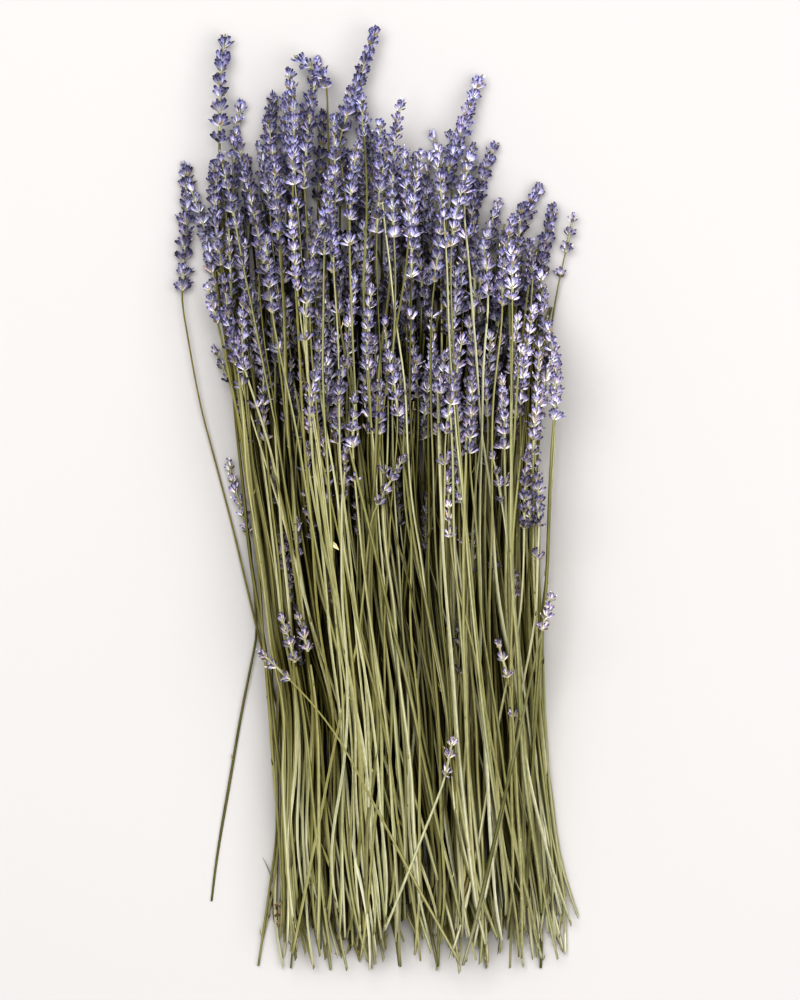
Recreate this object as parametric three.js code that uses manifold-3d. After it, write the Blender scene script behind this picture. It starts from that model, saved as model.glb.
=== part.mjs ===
import * as THREE from 'three';
import { mergeVertices } from 'three/addons/utils/BufferGeometryUtils.js';
import Module from 'manifold-3d';

// A loose, untied bunch of dried lavender lying on its side.
// Millimetres. +Y runs from the cut ends to the flowers, +Z is up, the lowest stems lie on z = 0.
// The sprigs are laid in sheaves, the lowest sheaf first. Each sheaf is one body of crossing
// stems, and each clump of spikes in it is one body of whorled florets on slim cores.

// Size of a sprig
const stemSide = 2.1;
const stemStep = 55;
const whorlPitch = 8;
const coreRadius = 1.9;
const floretReach = 4.7;
const floretLean = 2.4;
const floretsPerWhorl = 4;
const spikeTip = 3;
const neckGap = 0.35;
const coreTaper = 0.35;
const floretTaper = 0.3;

// How sprigs lie beside each other
const spikeSpacing = 7;
const spikeFan = 0.6;
const whorlSpread = 1.2;
const staggeredFrom = 5;
const footSpacing = 4.6;
const crossing = 1.6;
const footLine = -204;
const footScatter = 9;
const stemStagger = 0.35;
const bendReach = 25;
const shortestRun = 15;

// How a sheaf rests on those under it
const restGap = 0.35;
const sagLimit = 5;
const settleStep = 0.1;
const settleRounds = 700;
const probeStep = 2;
const outlineStep = 2;
const cellReach = 0.7;
const stemMargin = 0.3;
const halfLength = 4 * stemStep;
const halfWidth = 110;

// Centre of the bunch in the frame that the places below are given in
const centreX = -2.4;
const centreY = -0.1;

const stemColour = new THREE.MeshStandardMaterial({ color: '#9a9857', roughness: 0.75, metalness: 0 });
const flowerColour = new THREE.MeshStandardMaterial({ color: '#5d5b8f', roughness: 0.85, metalness: 0 });

// Each sheaf, from the lowest to the uppermost. A clump is a row of spikes side by side: its middle
// and lowest base at x, y, its lean from straight ahead in degrees, and its whorls per spike.
// A sprig that wanders on its own has a route instead, from its tip to its cut end.
const sheaves = [
  { name: 'left_low', footX: -17, clumps: [
    { name: 'left_shoulder', spikes: 3, x: -67, y: 112, lean: -1, whorls: 5 },
    { name: 'far_left', route: [[-86, 152], [-90, 88], [-80, 36], [-18, -207]], whorls: 7 },
    { name: 'left_stray', route: [[-70, 18], [-59, -18], [-56, -62], [-78, -182]], whorls: 4 },
  ] },
  { name: 'left_middle_low', footX: -42, clumps: [
    { name: 'left_crown', spikes: 4, x: -39, y: 132, lean: 0, whorls: 5 },
  ] },
  { name: 'middle_low', footX: 22, clumps: [
    { name: 'middle_crown', spikes: 3, x: -11, y: 114, lean: 0, whorls: 5 },
  ] },
  { name: 'right_middle_low', footX: -8, clumps: [
    { name: 'right_crown', spikes: 3, x: 14, y: 104, lean: 1, whorls: 5 },
  ] },
  { name: 'tall_right', footX: 50, clumps: [
    { name: 'tall_right', route: [[45, 190], [28, 140], [30, 90], [70, -207]], whorls: 6 },
    { name: 'right_peak', route: [[51, 161], [38, 118], [40, 80], [62, -202]], whorls: 5 },
    { name: 'right_slope', route: [[72, 142], [53, 103], [52, 60], [84, -205]], whorls: 4 },
    { name: 'right_rim', route: [[76, 134], [71, 95], [67, 40], [78, -198]], whorls: 4 },
    { name: 'right_sprig', route: [[88, 129], [79, 94], [73, 60], [54, -205]], whorls: 2 },
  ] },
  { name: 'tall_left', footX: 5, clumps: [
    { name: 'tall_left', route: [[-72, 210], [-73, 150], [-62, 60], [2, -208]], whorls: 6 },
    { name: 'bowed_tip', route: [[-42, 199], [-25, 187], [-24, 150], [-10, -206]], whorls: 2 },
    { name: 'left_wisp', route: [[-78, 69], [-64, 42], [-54, 0], [9, -205]], whorls: 2 },
    { name: 'tall_middle', route: [[-1, 213], [-19, 160], [-12, 100], [-5, -210]], whorls: 6 },
  ] },
  { name: 'left_upper', footX: -32, clumps: [
    { name: 'left_bank', spikes: 3, x: -61, y: 82, lean: 1, whorls: 4 },
    { name: 'middle_left_bank', spikes: 3, x: -13, y: 76, lean: -1, whorls: 5 },
  ] },
  { name: 'left_middle_upper', footX: 8, clumps: [
    { name: 'left_middle_bank', spikes: 3, x: -37, y: 90, lean: 0, whorls: 5 },
  ] },
  { name: 'middle_upper', footX: 30, clumps: [
    { name: 'middle_bank', spikes: 3, x: 11, y: 68, lean: 0, whorls: 5 },
    { name: 'right_ridge', spikes: 3, x: 58, y: 66, lean: 3, whorls: 5 },
  ] },
  { name: 'right_upper', footX: 68, clumps: [
    { name: 'right_middle_bank', spikes: 3, x: 34, y: 70, lean: 2, whorls: 5 },
    { name: 'right_edge', spikes: 1, x: 76, y: 60, lean: -2, whorls: 4 },
  ] },
  { name: 'left_top', footX: -30, clumps: [
    { name: 'left_brow', spikes: 2, x: -56, y: 26, lean: -6, whorls: 4 },
    { name: 'left_middle_brow', spikes: 2, x: -40, y: 36, lean: 2, whorls: 4 },
  ] },
  { name: 'middle_top', footX: -4, clumps: [
    { name: 'middle_brow', spikes: 3, x: -22, y: 34, lean: 1, whorls: 5 },
    { name: 'right_middle_brow', spikes: 2, x: 21, y: 44, lean: -1, whorls: 4 },
    { name: 'left_low_pair', spikes: 2, x: -41, y: -33, lean: -7, whorls: 3 },
  ] },
  { name: 'right_middle_top', footX: 44, clumps: [
    { name: 'centre_brow', spikes: 3, x: 2, y: 30, lean: 3, whorls: 5 },
    { name: 'right_brow', spikes: 3, x: 40, y: 38, lean: -2, whorls: 4 },
  ] },
  { name: 'right_top', footX: 66, clumps: [
    { name: 'right_edge_brow', spikes: 4, x: 65, y: 20, lean: 2, whorls: 5 },
  ] },
  { name: 'late_middle', footX: 34, clumps: [
    { name: 'left_late', spikes: 3, x: -24, y: -2, lean: 1, whorls: 4 },
    { name: 'middle_late', spikes: 2, x: 32, y: -6, lean: -4, whorls: 4 },
    { name: 'right_late', spikes: 2, x: 66, y: -14, lean: 0, whorls: 3 },
  ] },
  { name: 'late_left', footX: -26, clumps: [
    { name: 'pale_sprig', route: [[13, 20], [-4, -8], [-10, -60], [-40, -204]], whorls: 3 },
    { name: 'left_last', spikes: 2, x: -34, y: -76, lean: -8, whorls: 3 },
  ] },
  { name: 'crossed_pair', footX: 20, clumps: [
    { name: 'left_crossing', route: [[-54, -67], [-23, -98], [4, -150], [34, -208]], whorls: 2 },
    { name: 'right_crossing', route: [[34, -104], [29, -125], [2, -193]], whorls: 2 },
  ] },
  { name: 'late_right', footX: 50, clumps: [
    { name: 'right_last', route: [[76, -40], [69, -66], [38, -209]], whorls: 2 },
    { name: 'right_bud', route: [[50, -61], [57, -84], [60, -120], [64, -206]], whorls: 2 },
  ] },
];

// An even spread of values between low and high, the same on every build
const goldenStep = 0.618034;
const vary = (index, low, high) => low + (high - low) * ((index * goldenStep) % 1);

// Plan of a sprig: straight runs between knots, each corner rounded by a parabola
function planX(route, bend, y) {
  const slope = (i) => (route[i + 1][0] - route[i][0]) / (route[i + 1][1] - route[i][1]);
  let run = 0;
  while (run < route.length - 2 && y < route[run + 1][1]) run += 1;
  let x = route[run][0] + slope(run) * (y - route[run][1]);
  for (let i = 1; i < route.length - 1; i += 1) {
    const near = bend - Math.abs(y - route[i][1]);
    if (near > 0) x += (slope(i - 1) - slope(i)) * near * near / (4 * bend);
  }
  return x;
}

// The sprigs of one clump, before they are given cut ends
function clumpSprigs(clump, clumpIndex) {
  if (clump.route) {
    const [tip, next] = clump.route;
    const lean = Math.atan2(tip[0] - next[0], tip[1] - next[1]);
    const length = clump.whorls * whorlPitch + spikeTip;
    const baseY = tip[1] - length * Math.cos(lean);
    const bend = Math.min(bendReach, baseY - next[1]);
    return [{ route: clump.route, bend, lean, whorls: clump.whorls, baseY }];
  }
  return Array.from({ length: clump.spikes }, (_, i) => {
    const place = i - (clump.spikes - 1) / 2;
    const lean = THREE.MathUtils.degToRad(clump.lean + place * spikeFan);
    const whorls = clump.whorls + Math.round(vary(3 * i + clumpIndex, -whorlSpread, whorlSpread));
    const length = whorls * whorlPitch + spikeTip;
    const across = place * spikeSpacing;
    const ahead = clump.whorls >= staggeredFrom ? 2 * whorlPitch * ((i + clumpIndex) % 2) : 0;
    const baseX = clump.x + across * Math.cos(lean) + ahead * Math.sin(lean);
    const baseY = clump.y - across * Math.sin(lean) + ahead * Math.cos(lean);
    const neckY = clump.y - bendReach - clump.spikes;
    const tip = [baseX + length * Math.sin(lean), baseY + length * Math.cos(lean)];
    const neck = [baseX + (neckY - baseY) * Math.tan(lean), neckY];
    return { route: [tip, neck], bend: bendReach, lean, whorls, baseY };
  });
}

// Cut ends of a sheaf: every stem changes places with its neighbours, so they cross and hold together
function addCutEnds(sheaf, sprigs, count) {
  const free = sprigs.filter((sprig) => sprig.route.length === 2);
  free.sort((a, b) => a.route[0][0] - b.route[0][0]);
  const places = free.map((sprig, i) => ({
    sprig, key: i + (i % 2 === 0 && i < free.length - 1 ? crossing : -crossing),
  }));
  places.sort((a, b) => a.key - b.key);
  places.forEach(({ sprig }, place) => {
    const footX = sheaf.footX + (place - (free.length - 1) / 2) * footSpacing;
    sprig.route.push([footX, footLine + vary(count + place, -footScatter, footScatter)]);
  });
}

// Neighbours lie a little lower and higher, so that no two crossing stems have faces in one plane
function addRises(sprigs) {
  const inOrder = [...sprigs].sort((a, b) => a.route[0][0] - b.route[0][0]);
  inOrder.forEach((sprig, i) => { sprig.rise = i % 2 === 0 ? -stemStagger : stemStagger; });
}

// Height of the pile over the plan, on a grid of one-millimetre cells
const cellsAcross = 2 * halfWidth;
const cellsAlong = 2 * halfLength;
const pile = new Float64Array(cellsAcross * cellsAlong).fill(-restGap);

function eachCell(x, y, reach, visit) {
  for (let j = Math.floor(y - reach); j <= y + reach; j += 1) {
    for (let i = Math.floor(x - reach); i <= x + reach; i += 1) {
      const off = Math.max(0, Math.hypot(i + 0.5 - x, j + 0.5 - y) - cellReach);
      if (off < reach) visit((j + halfLength) * cellsAcross + i + halfWidth, off);
    }
  }
}

// Points down a sprig, with how far it reaches to the side and up at each
function outlinePoints(sprig) {
  const tipY = sprig.route[0][1];
  const footY = sprig.route[sprig.route.length - 1][1];
  const points = [];
  let y = footY;
  while (y < tipY + spikeTip) {
    const x = planX(sprig.route, sprig.bend, y);
    const inSpike = y > sprig.baseY - stemSide / 2;
    const along = (y - sprig.baseY) / (tipY - sprig.baseY);
    points.push({ x, y, round: inSpike, reach: inSpike ? whorlReach(along) : stemSide / 2 });
    const slope = planX(sprig.route, sprig.bend, y + 1) - x;
    y += outlineStep / Math.hypot(1, slope);
  }
  return points;
}

function whorlReach(along) {
  const f = Math.min(1, Math.max(0, along));
  return floretReach * (1 - floretTaper * f * f);
}

const heightOver = (point, off) => (point.round ? Math.sqrt(point.reach ** 2 - off ** 2) : point.reach);
const footprint = (point) => (point.round ? point.reach : point.reach + stemMargin);

// Heights of a sheaf at stations a stem step apart, with straight runs between them
const stations = Array.from({ length: 2 * halfLength / stemStep + 1 }, (_, s) => s * stemStep - halfLength);
const probesPerRun = Math.round(stemStep / probeStep);
const probeCount = probesPerRun * (stations.length - 1) + 1;
const probePlace = (y) => Math.round((y + halfLength) * probesPerRun / stemStep);

function heightAt(heights, y) {
  const place = (y + halfLength) / stemStep;
  const s = Math.min(stations.length - 2, Math.floor(place));
  return heights[s] + (heights[s + 1] - heights[s]) * (place - s);
}

// The lowest a station can go while its two runs clear the pile and no corner is too sharp
function lowestAt(heights, need, s) {
  let low = stemSide / 2;
  for (let step = 1 - probesPerRun; step < probesPerRun; step += 1) {
    const probe = s * probesPerRun + step;
    const far = step < 0 ? s - 1 : s + 1;
    const share = Math.abs(step) / probesPerRun;
    if (probe >= 0 && probe < probeCount) {
      low = Math.max(low, (need[probe] - share * (step === 0 ? 0 : heights[far])) / (1 - share));
    }
  }
  for (const way of [-1, 1]) {
    const [next, after] = [heights[s + way], heights[s + 2 * way]];
    if (after !== undefined) low = Math.max(low, 2 * (next - sagLimit) - after);
  }
  if (s > 0 && s < stations.length - 1) {
    low = Math.max(low, (heights[s - 1] + heights[s + 1]) / 2 - sagLimit);
  }
  return low;
}

// A sheaf settles from above, a little at a time, until it rests on what lies under it
function settle(need, heights, firstFree) {
  for (let round = 0; round < settleRounds; round += 1) {
    for (let s = firstFree; s < stations.length; s += 1) {
      heights[s] = Math.min(heights[s], Math.max(lowestAt(heights, need, s), heights[s] - settleStep));
    }
  }
  return heights;
}

// Stems of a sheaf share their heights up to the split, so those that cross are one body.
// Past it each clump rests by itself.
function restSheaf(clumps) {
  const lowest = Math.min(...clumps.flat().map((sprig) => sprig.baseY));
  const split = Math.floor((lowest - bendReach + halfLength) / stemStep);
  const riseAt = (sprig, y) => sprig.rise * Math.min(1, Math.max(0, split + 1 - (y + halfLength) / stemStep));
  const needs = clumps.map((sprigs) => {
    const need = new Array(probeCount).fill(-Infinity);
    for (const sprig of sprigs) {
      for (const point of outlinePoints(sprig)) {
        const k = probePlace(point.y);
        eachCell(point.x, point.y, footprint(point), (cell, off) => {
          const z = pile[cell] + restGap + heightOver(point, off) - riseAt(sprig, point.y);
          need[k] = Math.max(need[k], z);
        });
      }
    }
    return need;
  });
  const together = needs[0].map((_, k) => Math.max(...needs.map((need) => need[k])));
  const top = Math.max(...together) + stemSide;
  const shared = settle(together, stations.map(() => top), 0);
  clumps.forEach((sprigs, c) => {
    const ownNeed = needs[c].map((z, k) => (k <= split * probesPerRun ? together[k] : z));
    const heights = settle(ownNeed, [...shared], split + 1);
    sprigs.forEach((sprig) => {
      sprig.heights = heights.map((z, s) => z + (s <= split ? sprig.rise : 0));
    });
  });
  for (const sprig of clumps.flat()) {
    for (const point of outlinePoints(sprig)) {
      const z = heightAt(sprig.heights, point.y);
      eachCell(point.x, point.y, footprint(point), (cell, off) => {
        pile[cell] = Math.max(pile[cell], z + heightOver(point, off));
      });
    }
  }
}

// Where a sprig is at y, and the directions ahead, to the side and up from it there
function axisAt(sprig, y) {
  const point = (at) => new THREE.Vector3(
    planX(sprig.route, sprig.bend, at), at, heightAt(sprig.heights, at),
  );
  const ahead = point(y + 1).sub(point(y - 1)).normalize();
  const side = new THREE.Vector3().crossVectors(ahead, new THREE.Vector3(0, 0, 1)).normalize();
  const up = new THREE.Vector3().crossVectors(side, ahead);
  return { centre: point(y), ahead, side, up };
}

function fromAxis(axis, angle, reach, forward) {
  return axis.centre.clone()
    .addScaledVector(axis.side, reach * Math.cos(angle))
    .addScaledVector(axis.up, reach * Math.sin(angle))
    .addScaledVector(axis.ahead, forward);
}

function closedGeometry(points, triangles) {
  const geometry = new THREE.BufferGeometry();
  const positions = points.flatMap((point) => point.toArray());
  geometry.setAttribute('position', new THREE.Float32BufferAttribute(positions, 3));
  geometry.setIndex(triangles.flat());
  return geometry;
}

// A square stem from its cut end to just below its spike
function stemGeometry(sprig) {
  const footY = sprig.route[sprig.route.length - 1][1];
  const endY = sprig.baseY - neckGap * Math.cos(sprig.lean);
  const stations = [footY];
  for (let y = Math.ceil(footY / stemStep) * stemStep; y < endY; y += stemStep) {
    if (y > footY + shortestRun && y < endY - shortestRun) stations.push(y);
  }
  stations.push(endY);
  const corner = stemSide / Math.SQRT2;
  const points = stations.flatMap((y) => {
    const axis = axisAt(sprig, y);
    return [0, 1, 2, 3].map((k) => fromAxis(axis, (k + 0.5) * Math.PI / 2, corner, 0));
  });
  const triangles = [[0, 1, 2], [0, 2, 3]];
  for (let s = 0; s < stations.length - 1; s += 1) {
    for (let k = 0; k < 4; k += 1) {
      const a = 4 * s + k;
      const b = 4 * s + (k + 1) % 4;
      triangles.push([a, a + 4, b + 4], [a, b + 4, b]);
    }
  }
  const last = 4 * (stations.length - 1);
  triangles.push([last, last + 2, last + 1], [last, last + 3, last + 2]);
  return closedGeometry(points, triangles);
}

// A spike: a slim core with a ring of florets at each whorl, every floret a four-sided cone
// that grows from its whole patch of the core and leans outward and ahead
function spikeGeometry(sprig) {
  const turn = 2 * Math.PI / floretsPerWhorl;
  const stepY = whorlPitch * Math.cos(sprig.lean);
  const points = [];
  const triangles = [];
  for (let ring = 0; ring <= sprig.whorls; ring += 1) {
    const axis = axisAt(sprig, sprig.baseY + ring * stepY);
    const radius = coreRadius * (1 - coreTaper * ring / sprig.whorls);
    for (let k = 0; k < floretsPerWhorl; k += 1) {
      points.push(fromAxis(axis, (k + ring / 2 - 0.75) * turn, radius, 0));
    }
  }
  const tips = points.length;
  for (let whorl = 0; whorl < sprig.whorls; whorl += 1) {
    const axis = axisAt(sprig, sprig.baseY + (whorl + 1) * stepY);
    for (let k = 0; k < floretsPerWhorl; k += 1) {
      const reach = whorlReach((whorl + 1) / sprig.whorls);
      points.push(fromAxis(axis, (k + whorl / 2) * turn, reach, floretLean - whorlPitch / 2));
      const next = (k + 1) % floretsPerWhorl;
      const a = whorl * floretsPerWhorl + k;
      const b = whorl * floretsPerWhorl + next;
      const d = a + floretsPerWhorl;
      const c = b + floretsPerWhorl;
      const tip = tips + whorl * floretsPerWhorl + k;
      triangles.push([a, d, tip], [d, c, tip], [c, b, tip], [b, a, tip]);
    }
  }
  const end = axisAt(sprig, sprig.baseY + sprig.whorls * stepY);
  points.push(fromAxis(end, 0, 0, spikeTip));
  const first = sprig.whorls * floretsPerWhorl;
  for (let k = 0; k < floretsPerWhorl; k += 1) {
    triangles.push([first + k, points.length - 1, first + (k + 1) % floretsPerWhorl]);
  }
  for (let k = 1; k < floretsPerWhorl - 1; k += 1) triangles.push([0, k, k + 1]);
  return closedGeometry(points, triangles);
}

const wasm = await Module();
wasm.setup();

function toSolid(geometry) {
  const merged = mergeVertices(geometry);
  return new wasm.Manifold(new wasm.Mesh({
    numProp: 3,
    vertProperties: new Float32Array(merged.attributes.position.array),
    triVerts: new Uint32Array(merged.index.array),
  }));
}

function joinedMesh(name, geometries, material) {
  const solid = geometries.map(toSolid).reduce((whole, piece) => whole.add(piece));
  const { vertProperties, triVerts } = solid.getMesh();
  const geometry = new THREE.BufferGeometry();
  geometry.setAttribute('position', new THREE.Float32BufferAttribute(vertProperties, 3));
  geometry.setIndex([...triVerts]);
  const mesh = new THREE.Mesh(geometry, material);
  mesh.name = name;
  return mesh;
}

const bunch = new THREE.Group();
let count = 0;
sheaves.forEach((sheaf) => {
  const clumps = sheaf.clumps.map((clump, i) => clumpSprigs(clump, i + count));
  const sprigs = clumps.flat();
  addCutEnds(sheaf, sprigs, count);
  addRises(sprigs);
  count += sprigs.length;
  restSheaf(clumps);
  bunch.add(joinedMesh(`stems_${sheaf.name}`, sprigs.map(stemGeometry), stemColour));
  clumps.forEach((clump, i) => {
    bunch.add(joinedMesh(`spikes_${sheaf.clumps[i].name}`, clump.map(spikeGeometry), flowerColour));
  });
});
bunch.position.set(-centreX, -centreY, 0);

export default bunch;
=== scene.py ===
# %% [markdown]
# # A bunch of dried lavender
#
# The bunch is a loose pile of sprigs. Each sprig is a thin square stem with a flower spike on its end.
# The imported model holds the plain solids: sheaves of stems, and clumps of spikes built of cones.
# This lesson grows the fine plant along the very same lines, so every sprig lies where its solid lies.
#
# Lengths are in millimetres until a mesh is made. Blender's own unit here is the metre.

# %% Load the frame
import math
import bpy
import numpy as np
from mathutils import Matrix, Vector
from mathutils.bvhtree import BVHTree


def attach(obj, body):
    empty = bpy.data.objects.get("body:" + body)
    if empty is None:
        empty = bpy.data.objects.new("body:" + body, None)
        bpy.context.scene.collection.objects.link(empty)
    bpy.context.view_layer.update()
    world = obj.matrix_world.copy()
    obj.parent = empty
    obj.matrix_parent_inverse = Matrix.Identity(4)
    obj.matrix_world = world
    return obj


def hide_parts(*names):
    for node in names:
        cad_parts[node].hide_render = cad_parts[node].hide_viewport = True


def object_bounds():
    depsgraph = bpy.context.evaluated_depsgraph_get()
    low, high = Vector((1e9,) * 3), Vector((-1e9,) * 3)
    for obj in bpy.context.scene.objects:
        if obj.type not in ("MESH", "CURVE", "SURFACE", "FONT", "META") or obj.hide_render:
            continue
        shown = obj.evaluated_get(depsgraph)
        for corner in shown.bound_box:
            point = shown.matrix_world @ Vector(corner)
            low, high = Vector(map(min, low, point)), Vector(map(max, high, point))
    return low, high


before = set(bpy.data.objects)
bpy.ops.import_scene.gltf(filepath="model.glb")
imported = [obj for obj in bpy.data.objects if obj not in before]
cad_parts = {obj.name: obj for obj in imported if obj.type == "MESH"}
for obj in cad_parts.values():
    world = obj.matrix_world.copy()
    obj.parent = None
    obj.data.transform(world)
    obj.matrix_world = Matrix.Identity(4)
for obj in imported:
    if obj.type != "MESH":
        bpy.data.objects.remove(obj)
cad_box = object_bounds()
mm = 0.001
print("CAD box in mm:", [[round(v / mm, 1) for v in corner] for corner in cad_box])

# %% [markdown]
# ## How the sprigs lie
#
# The solids were laid sheaf by sheaf, the lowest first. A clump is a row of spikes side by side,
# with the middle of its lowest bases at x, y. A sprig that wanders on its own has a route instead,
# from its tip to its cut end. The same short list is repeated here, because a given list of
# sprigs says more than points read from a mesh would. The imported model is centred on its box, so
# centre_x and centre_y are taken off again where a line is made.

# %% The sheaves
whorl_pitch = 8.0
spike_tip = 3.0
spike_spacing = 7.0
spike_fan = 0.6
whorl_spread = 1.2
staggered_from = 5
foot_spacing = 4.6
foot_line = -204.0
foot_scatter = 9.0
crossing = 1.6
bend_reach = 25.0
centre_x = -2.4
centre_y = -0.1


def clump(name, spikes, x, y, lean, whorls):
    return dict(name=name, spikes=spikes, x=x, y=y, lean=lean, whorls=whorls)


def lone(name, whorls, *route):
    return dict(name=name, whorls=whorls, route=list(route))


sheaves = [
    ("left_low", -17, [
        clump("left_shoulder", 3, -67, 112, -1, 5),
        lone("far_left", 7, (-86, 152), (-90, 88), (-80, 36), (-18, -207)),
        lone("left_stray", 4, (-70, 18), (-59, -18), (-56, -62), (-78, -182)),
    ]),
    ("left_middle_low", -42, [clump("left_crown", 4, -39, 132, 0, 5)]),
    ("middle_low", 22, [clump("middle_crown", 3, -11, 114, 0, 5)]),
    ("right_middle_low", -8, [clump("right_crown", 3, 14, 104, 1, 5)]),
    ("tall_right", 50, [
        lone("tall_right", 6, (45, 190), (28, 140), (30, 90), (70, -207)),
        lone("right_peak", 5, (51, 161), (38, 118), (40, 80), (62, -202)),
        lone("right_slope", 4, (72, 142), (53, 103), (52, 60), (84, -205)),
        lone("right_rim", 4, (76, 134), (71, 95), (67, 40), (78, -198)),
        lone("right_sprig", 2, (88, 129), (79, 94), (73, 60), (54, -205)),
    ]),
    ("tall_left", 5, [
        lone("tall_left", 6, (-72, 210), (-73, 150), (-62, 60), (2, -208)),
        lone("bowed_tip", 2, (-42, 199), (-25, 187), (-24, 150), (-10, -206)),
        lone("left_wisp", 2, (-78, 69), (-64, 42), (-54, 0), (9, -205)),
        lone("tall_middle", 6, (-1, 213), (-19, 160), (-12, 100), (-5, -210)),
    ]),
    ("left_upper", -32, [
        clump("left_bank", 3, -61, 82, 1, 4),
        clump("middle_left_bank", 3, -13, 76, -1, 5),
    ]),
    ("left_middle_upper", 8, [clump("left_middle_bank", 3, -37, 90, 0, 5)]),
    ("middle_upper", 30, [
        clump("middle_bank", 3, 11, 68, 0, 5),
        clump("right_ridge", 3, 58, 66, 3, 5),
    ]),
    ("right_upper", 68, [
        clump("right_middle_bank", 3, 34, 70, 2, 5),
        clump("right_edge", 1, 76, 60, -2, 4),
    ]),
    ("left_top", -30, [
        clump("left_brow", 2, -56, 26, -6, 4),
        clump("left_middle_brow", 2, -40, 36, 2, 4),
    ]),
    ("middle_top", -4, [
        clump("middle_brow", 3, -22, 34, 1, 5),
        clump("right_middle_brow", 2, 21, 44, -1, 4),
        clump("left_low_pair", 2, -41, -33, -7, 3),
    ]),
    ("right_middle_top", 44, [
        clump("centre_brow", 3, 2, 30, 3, 5),
        clump("right_brow", 3, 40, 38, -2, 4),
    ]),
    ("right_top", 66, [clump("right_edge_brow", 4, 65, 20, 2, 5)]),
    ("late_middle", 34, [
        clump("left_late", 3, -24, -2, 1, 4),
        clump("middle_late", 2, 32, -6, -4, 4),
        clump("right_late", 2, 66, -14, 0, 3),
    ]),
    ("late_left", -26, [
        lone("pale_sprig", 3, (13, 20), (-4, -8), (-10, -60), (-40, -204)),
        clump("left_last", 2, -34, -76, -8, 3),
    ]),
    ("crossed_pair", 20, [
        lone("left_crossing", 2, (-54, -67), (-23, -98), (4, -150), (34, -208)),
        lone("right_crossing", 2, (34, -104), (29, -125), (2, -193)),
    ]),
    ("late_right", 50, [
        lone("right_last", 2, (76, -40), (69, -66), (38, -209)),
        lone("right_bud", 2, (50, -61), (57, -84), (60, -120), (64, -206)),
    ]),
]
print(len(sheaves), "sheaves,", sum(len(clumps) for _, _, clumps in sheaves), "clumps and lone sprigs")

# %% [markdown]
# ## The line of a sprig, seen from above
#
# A stem seen from above is straight runs between knots, each corner rounded by a parabola.
# A curve object with handles would do it too, but a formula gives the very line of the solid.

# %% Lines in plan
golden_step = 0.618034


def vary(index, low, high):
    return low + (high - low) * ((index * golden_step) % 1)


def plan_x(route, bend, y):
    route = np.array(route, float)
    slopes = np.diff(route[:, 0]) / np.diff(route[:, 1])
    run = sum((y < knot).astype(int) for knot in route[1:-1, 1]) + np.zeros(len(y), int)
    x = route[run, 0] + slopes[run] * (y - route[run, 1])
    for i in range(1, len(route) - 1):
        near = np.clip(bend - np.abs(y - route[i, 1]), 0, None)
        x += (slopes[i - 1] - slopes[i]) * near ** 2 / (4 * bend)
    return x


def spike_length(whorls):
    return whorls * whorl_pitch + spike_tip


def lone_sprig(row):
    tip, after = row["route"][:2]
    lean = math.atan2(tip[0] - after[0], tip[1] - after[1])
    base_y = tip[1] - spike_length(row["whorls"]) * math.cos(lean)
    return dict(route=list(row["route"]), bend=min(bend_reach, base_y - after[1]),
                whorls=row["whorls"], base_y=base_y, lone=True)


def clump_sprigs(row, index):
    sprigs = []
    for i in range(row["spikes"]):
        place = i - (row["spikes"] - 1) / 2
        lean = math.radians(row["lean"] + place * spike_fan)
        whorls = row["whorls"] + math.floor(vary(3 * i + index, -whorl_spread, whorl_spread) + 0.5)
        across = place * spike_spacing
        ahead = 2 * whorl_pitch * ((i + index) % 2) if row["whorls"] >= staggered_from else 0
        base_x = row["x"] + across * math.cos(lean) + ahead * math.sin(lean)
        base_y = row["y"] - across * math.sin(lean) + ahead * math.cos(lean)
        neck_y = row["y"] - bend_reach - row["spikes"]
        length = spike_length(whorls)
        tip = (base_x + length * math.sin(lean), base_y + length * math.cos(lean))
        neck = (base_x + (neck_y - base_y) * math.tan(lean), neck_y)
        sprigs.append(dict(route=[tip, neck], bend=bend_reach, whorls=whorls, base_y=base_y, lone=False))
    return sprigs


def add_cut_ends(foot_x, sprigs, count):
    free = sorted((s for s in sprigs if len(s["route"]) == 2), key=lambda s: s["route"][0][0])
    last = len(free) - 1
    keys = [i + (crossing if i % 2 == 0 and i < last else -crossing) for i in range(len(free))]
    order = sorted(range(len(free)), key=lambda i: keys[i])
    for place, i in enumerate(order):
        x = foot_x + (place - last / 2) * foot_spacing
        free[i]["route"].append((x, foot_line + vary(count + place, -foot_scatter, foot_scatter)))


laid = []
count = 0
for sheaf_name, foot_x, rows in sheaves:
    clumps = [[lone_sprig(row)] if "route" in row else clump_sprigs(row, i + count)
              for i, row in enumerate(rows)]
    together = [sprig for sprigs in clumps for sprig in sprigs]
    add_cut_ends(foot_x, together, count)
    count += len(together)
    laid.append((sheaf_name, [(row["name"], sprigs) for row, sprigs in zip(rows, clumps)]))
print(count, "sprigs in the solids")

# %% [markdown]
# ## How high each sprig lies
#
# The solids have settled on each other, so the height comes from them. A ray from above and a ray
# from below meet a stem on both sides, and the middle between them is the stem's own centre.
# A light smoothing then turns the solid's straight runs into the soft sag of a dry stem.
# No dry stem is ruler straight either, so each line wanders by less than its own thickness.

# %% Heights from the solids
draw = np.random.default_rng(20)
probe_step = 4.0
line_step = 2.0
sag_smoothing = 13.0
bend_smoothing = 3.0
wander_side = 0.8
wander_up = 0.35
wander_reach = 16.0
tip_swing = 2.6
sky = 200 * mm


def surface_tree(names):
    points = []
    faces = []
    for name in names:
        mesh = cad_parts[name].data
        start = len(points)
        points.extend(vertex.co[:] for vertex in mesh.vertices)
        faces.extend([start + v for v in face.vertices] for face in mesh.polygons)
    return BVHTree.FromPolygons(points, faces)


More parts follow.
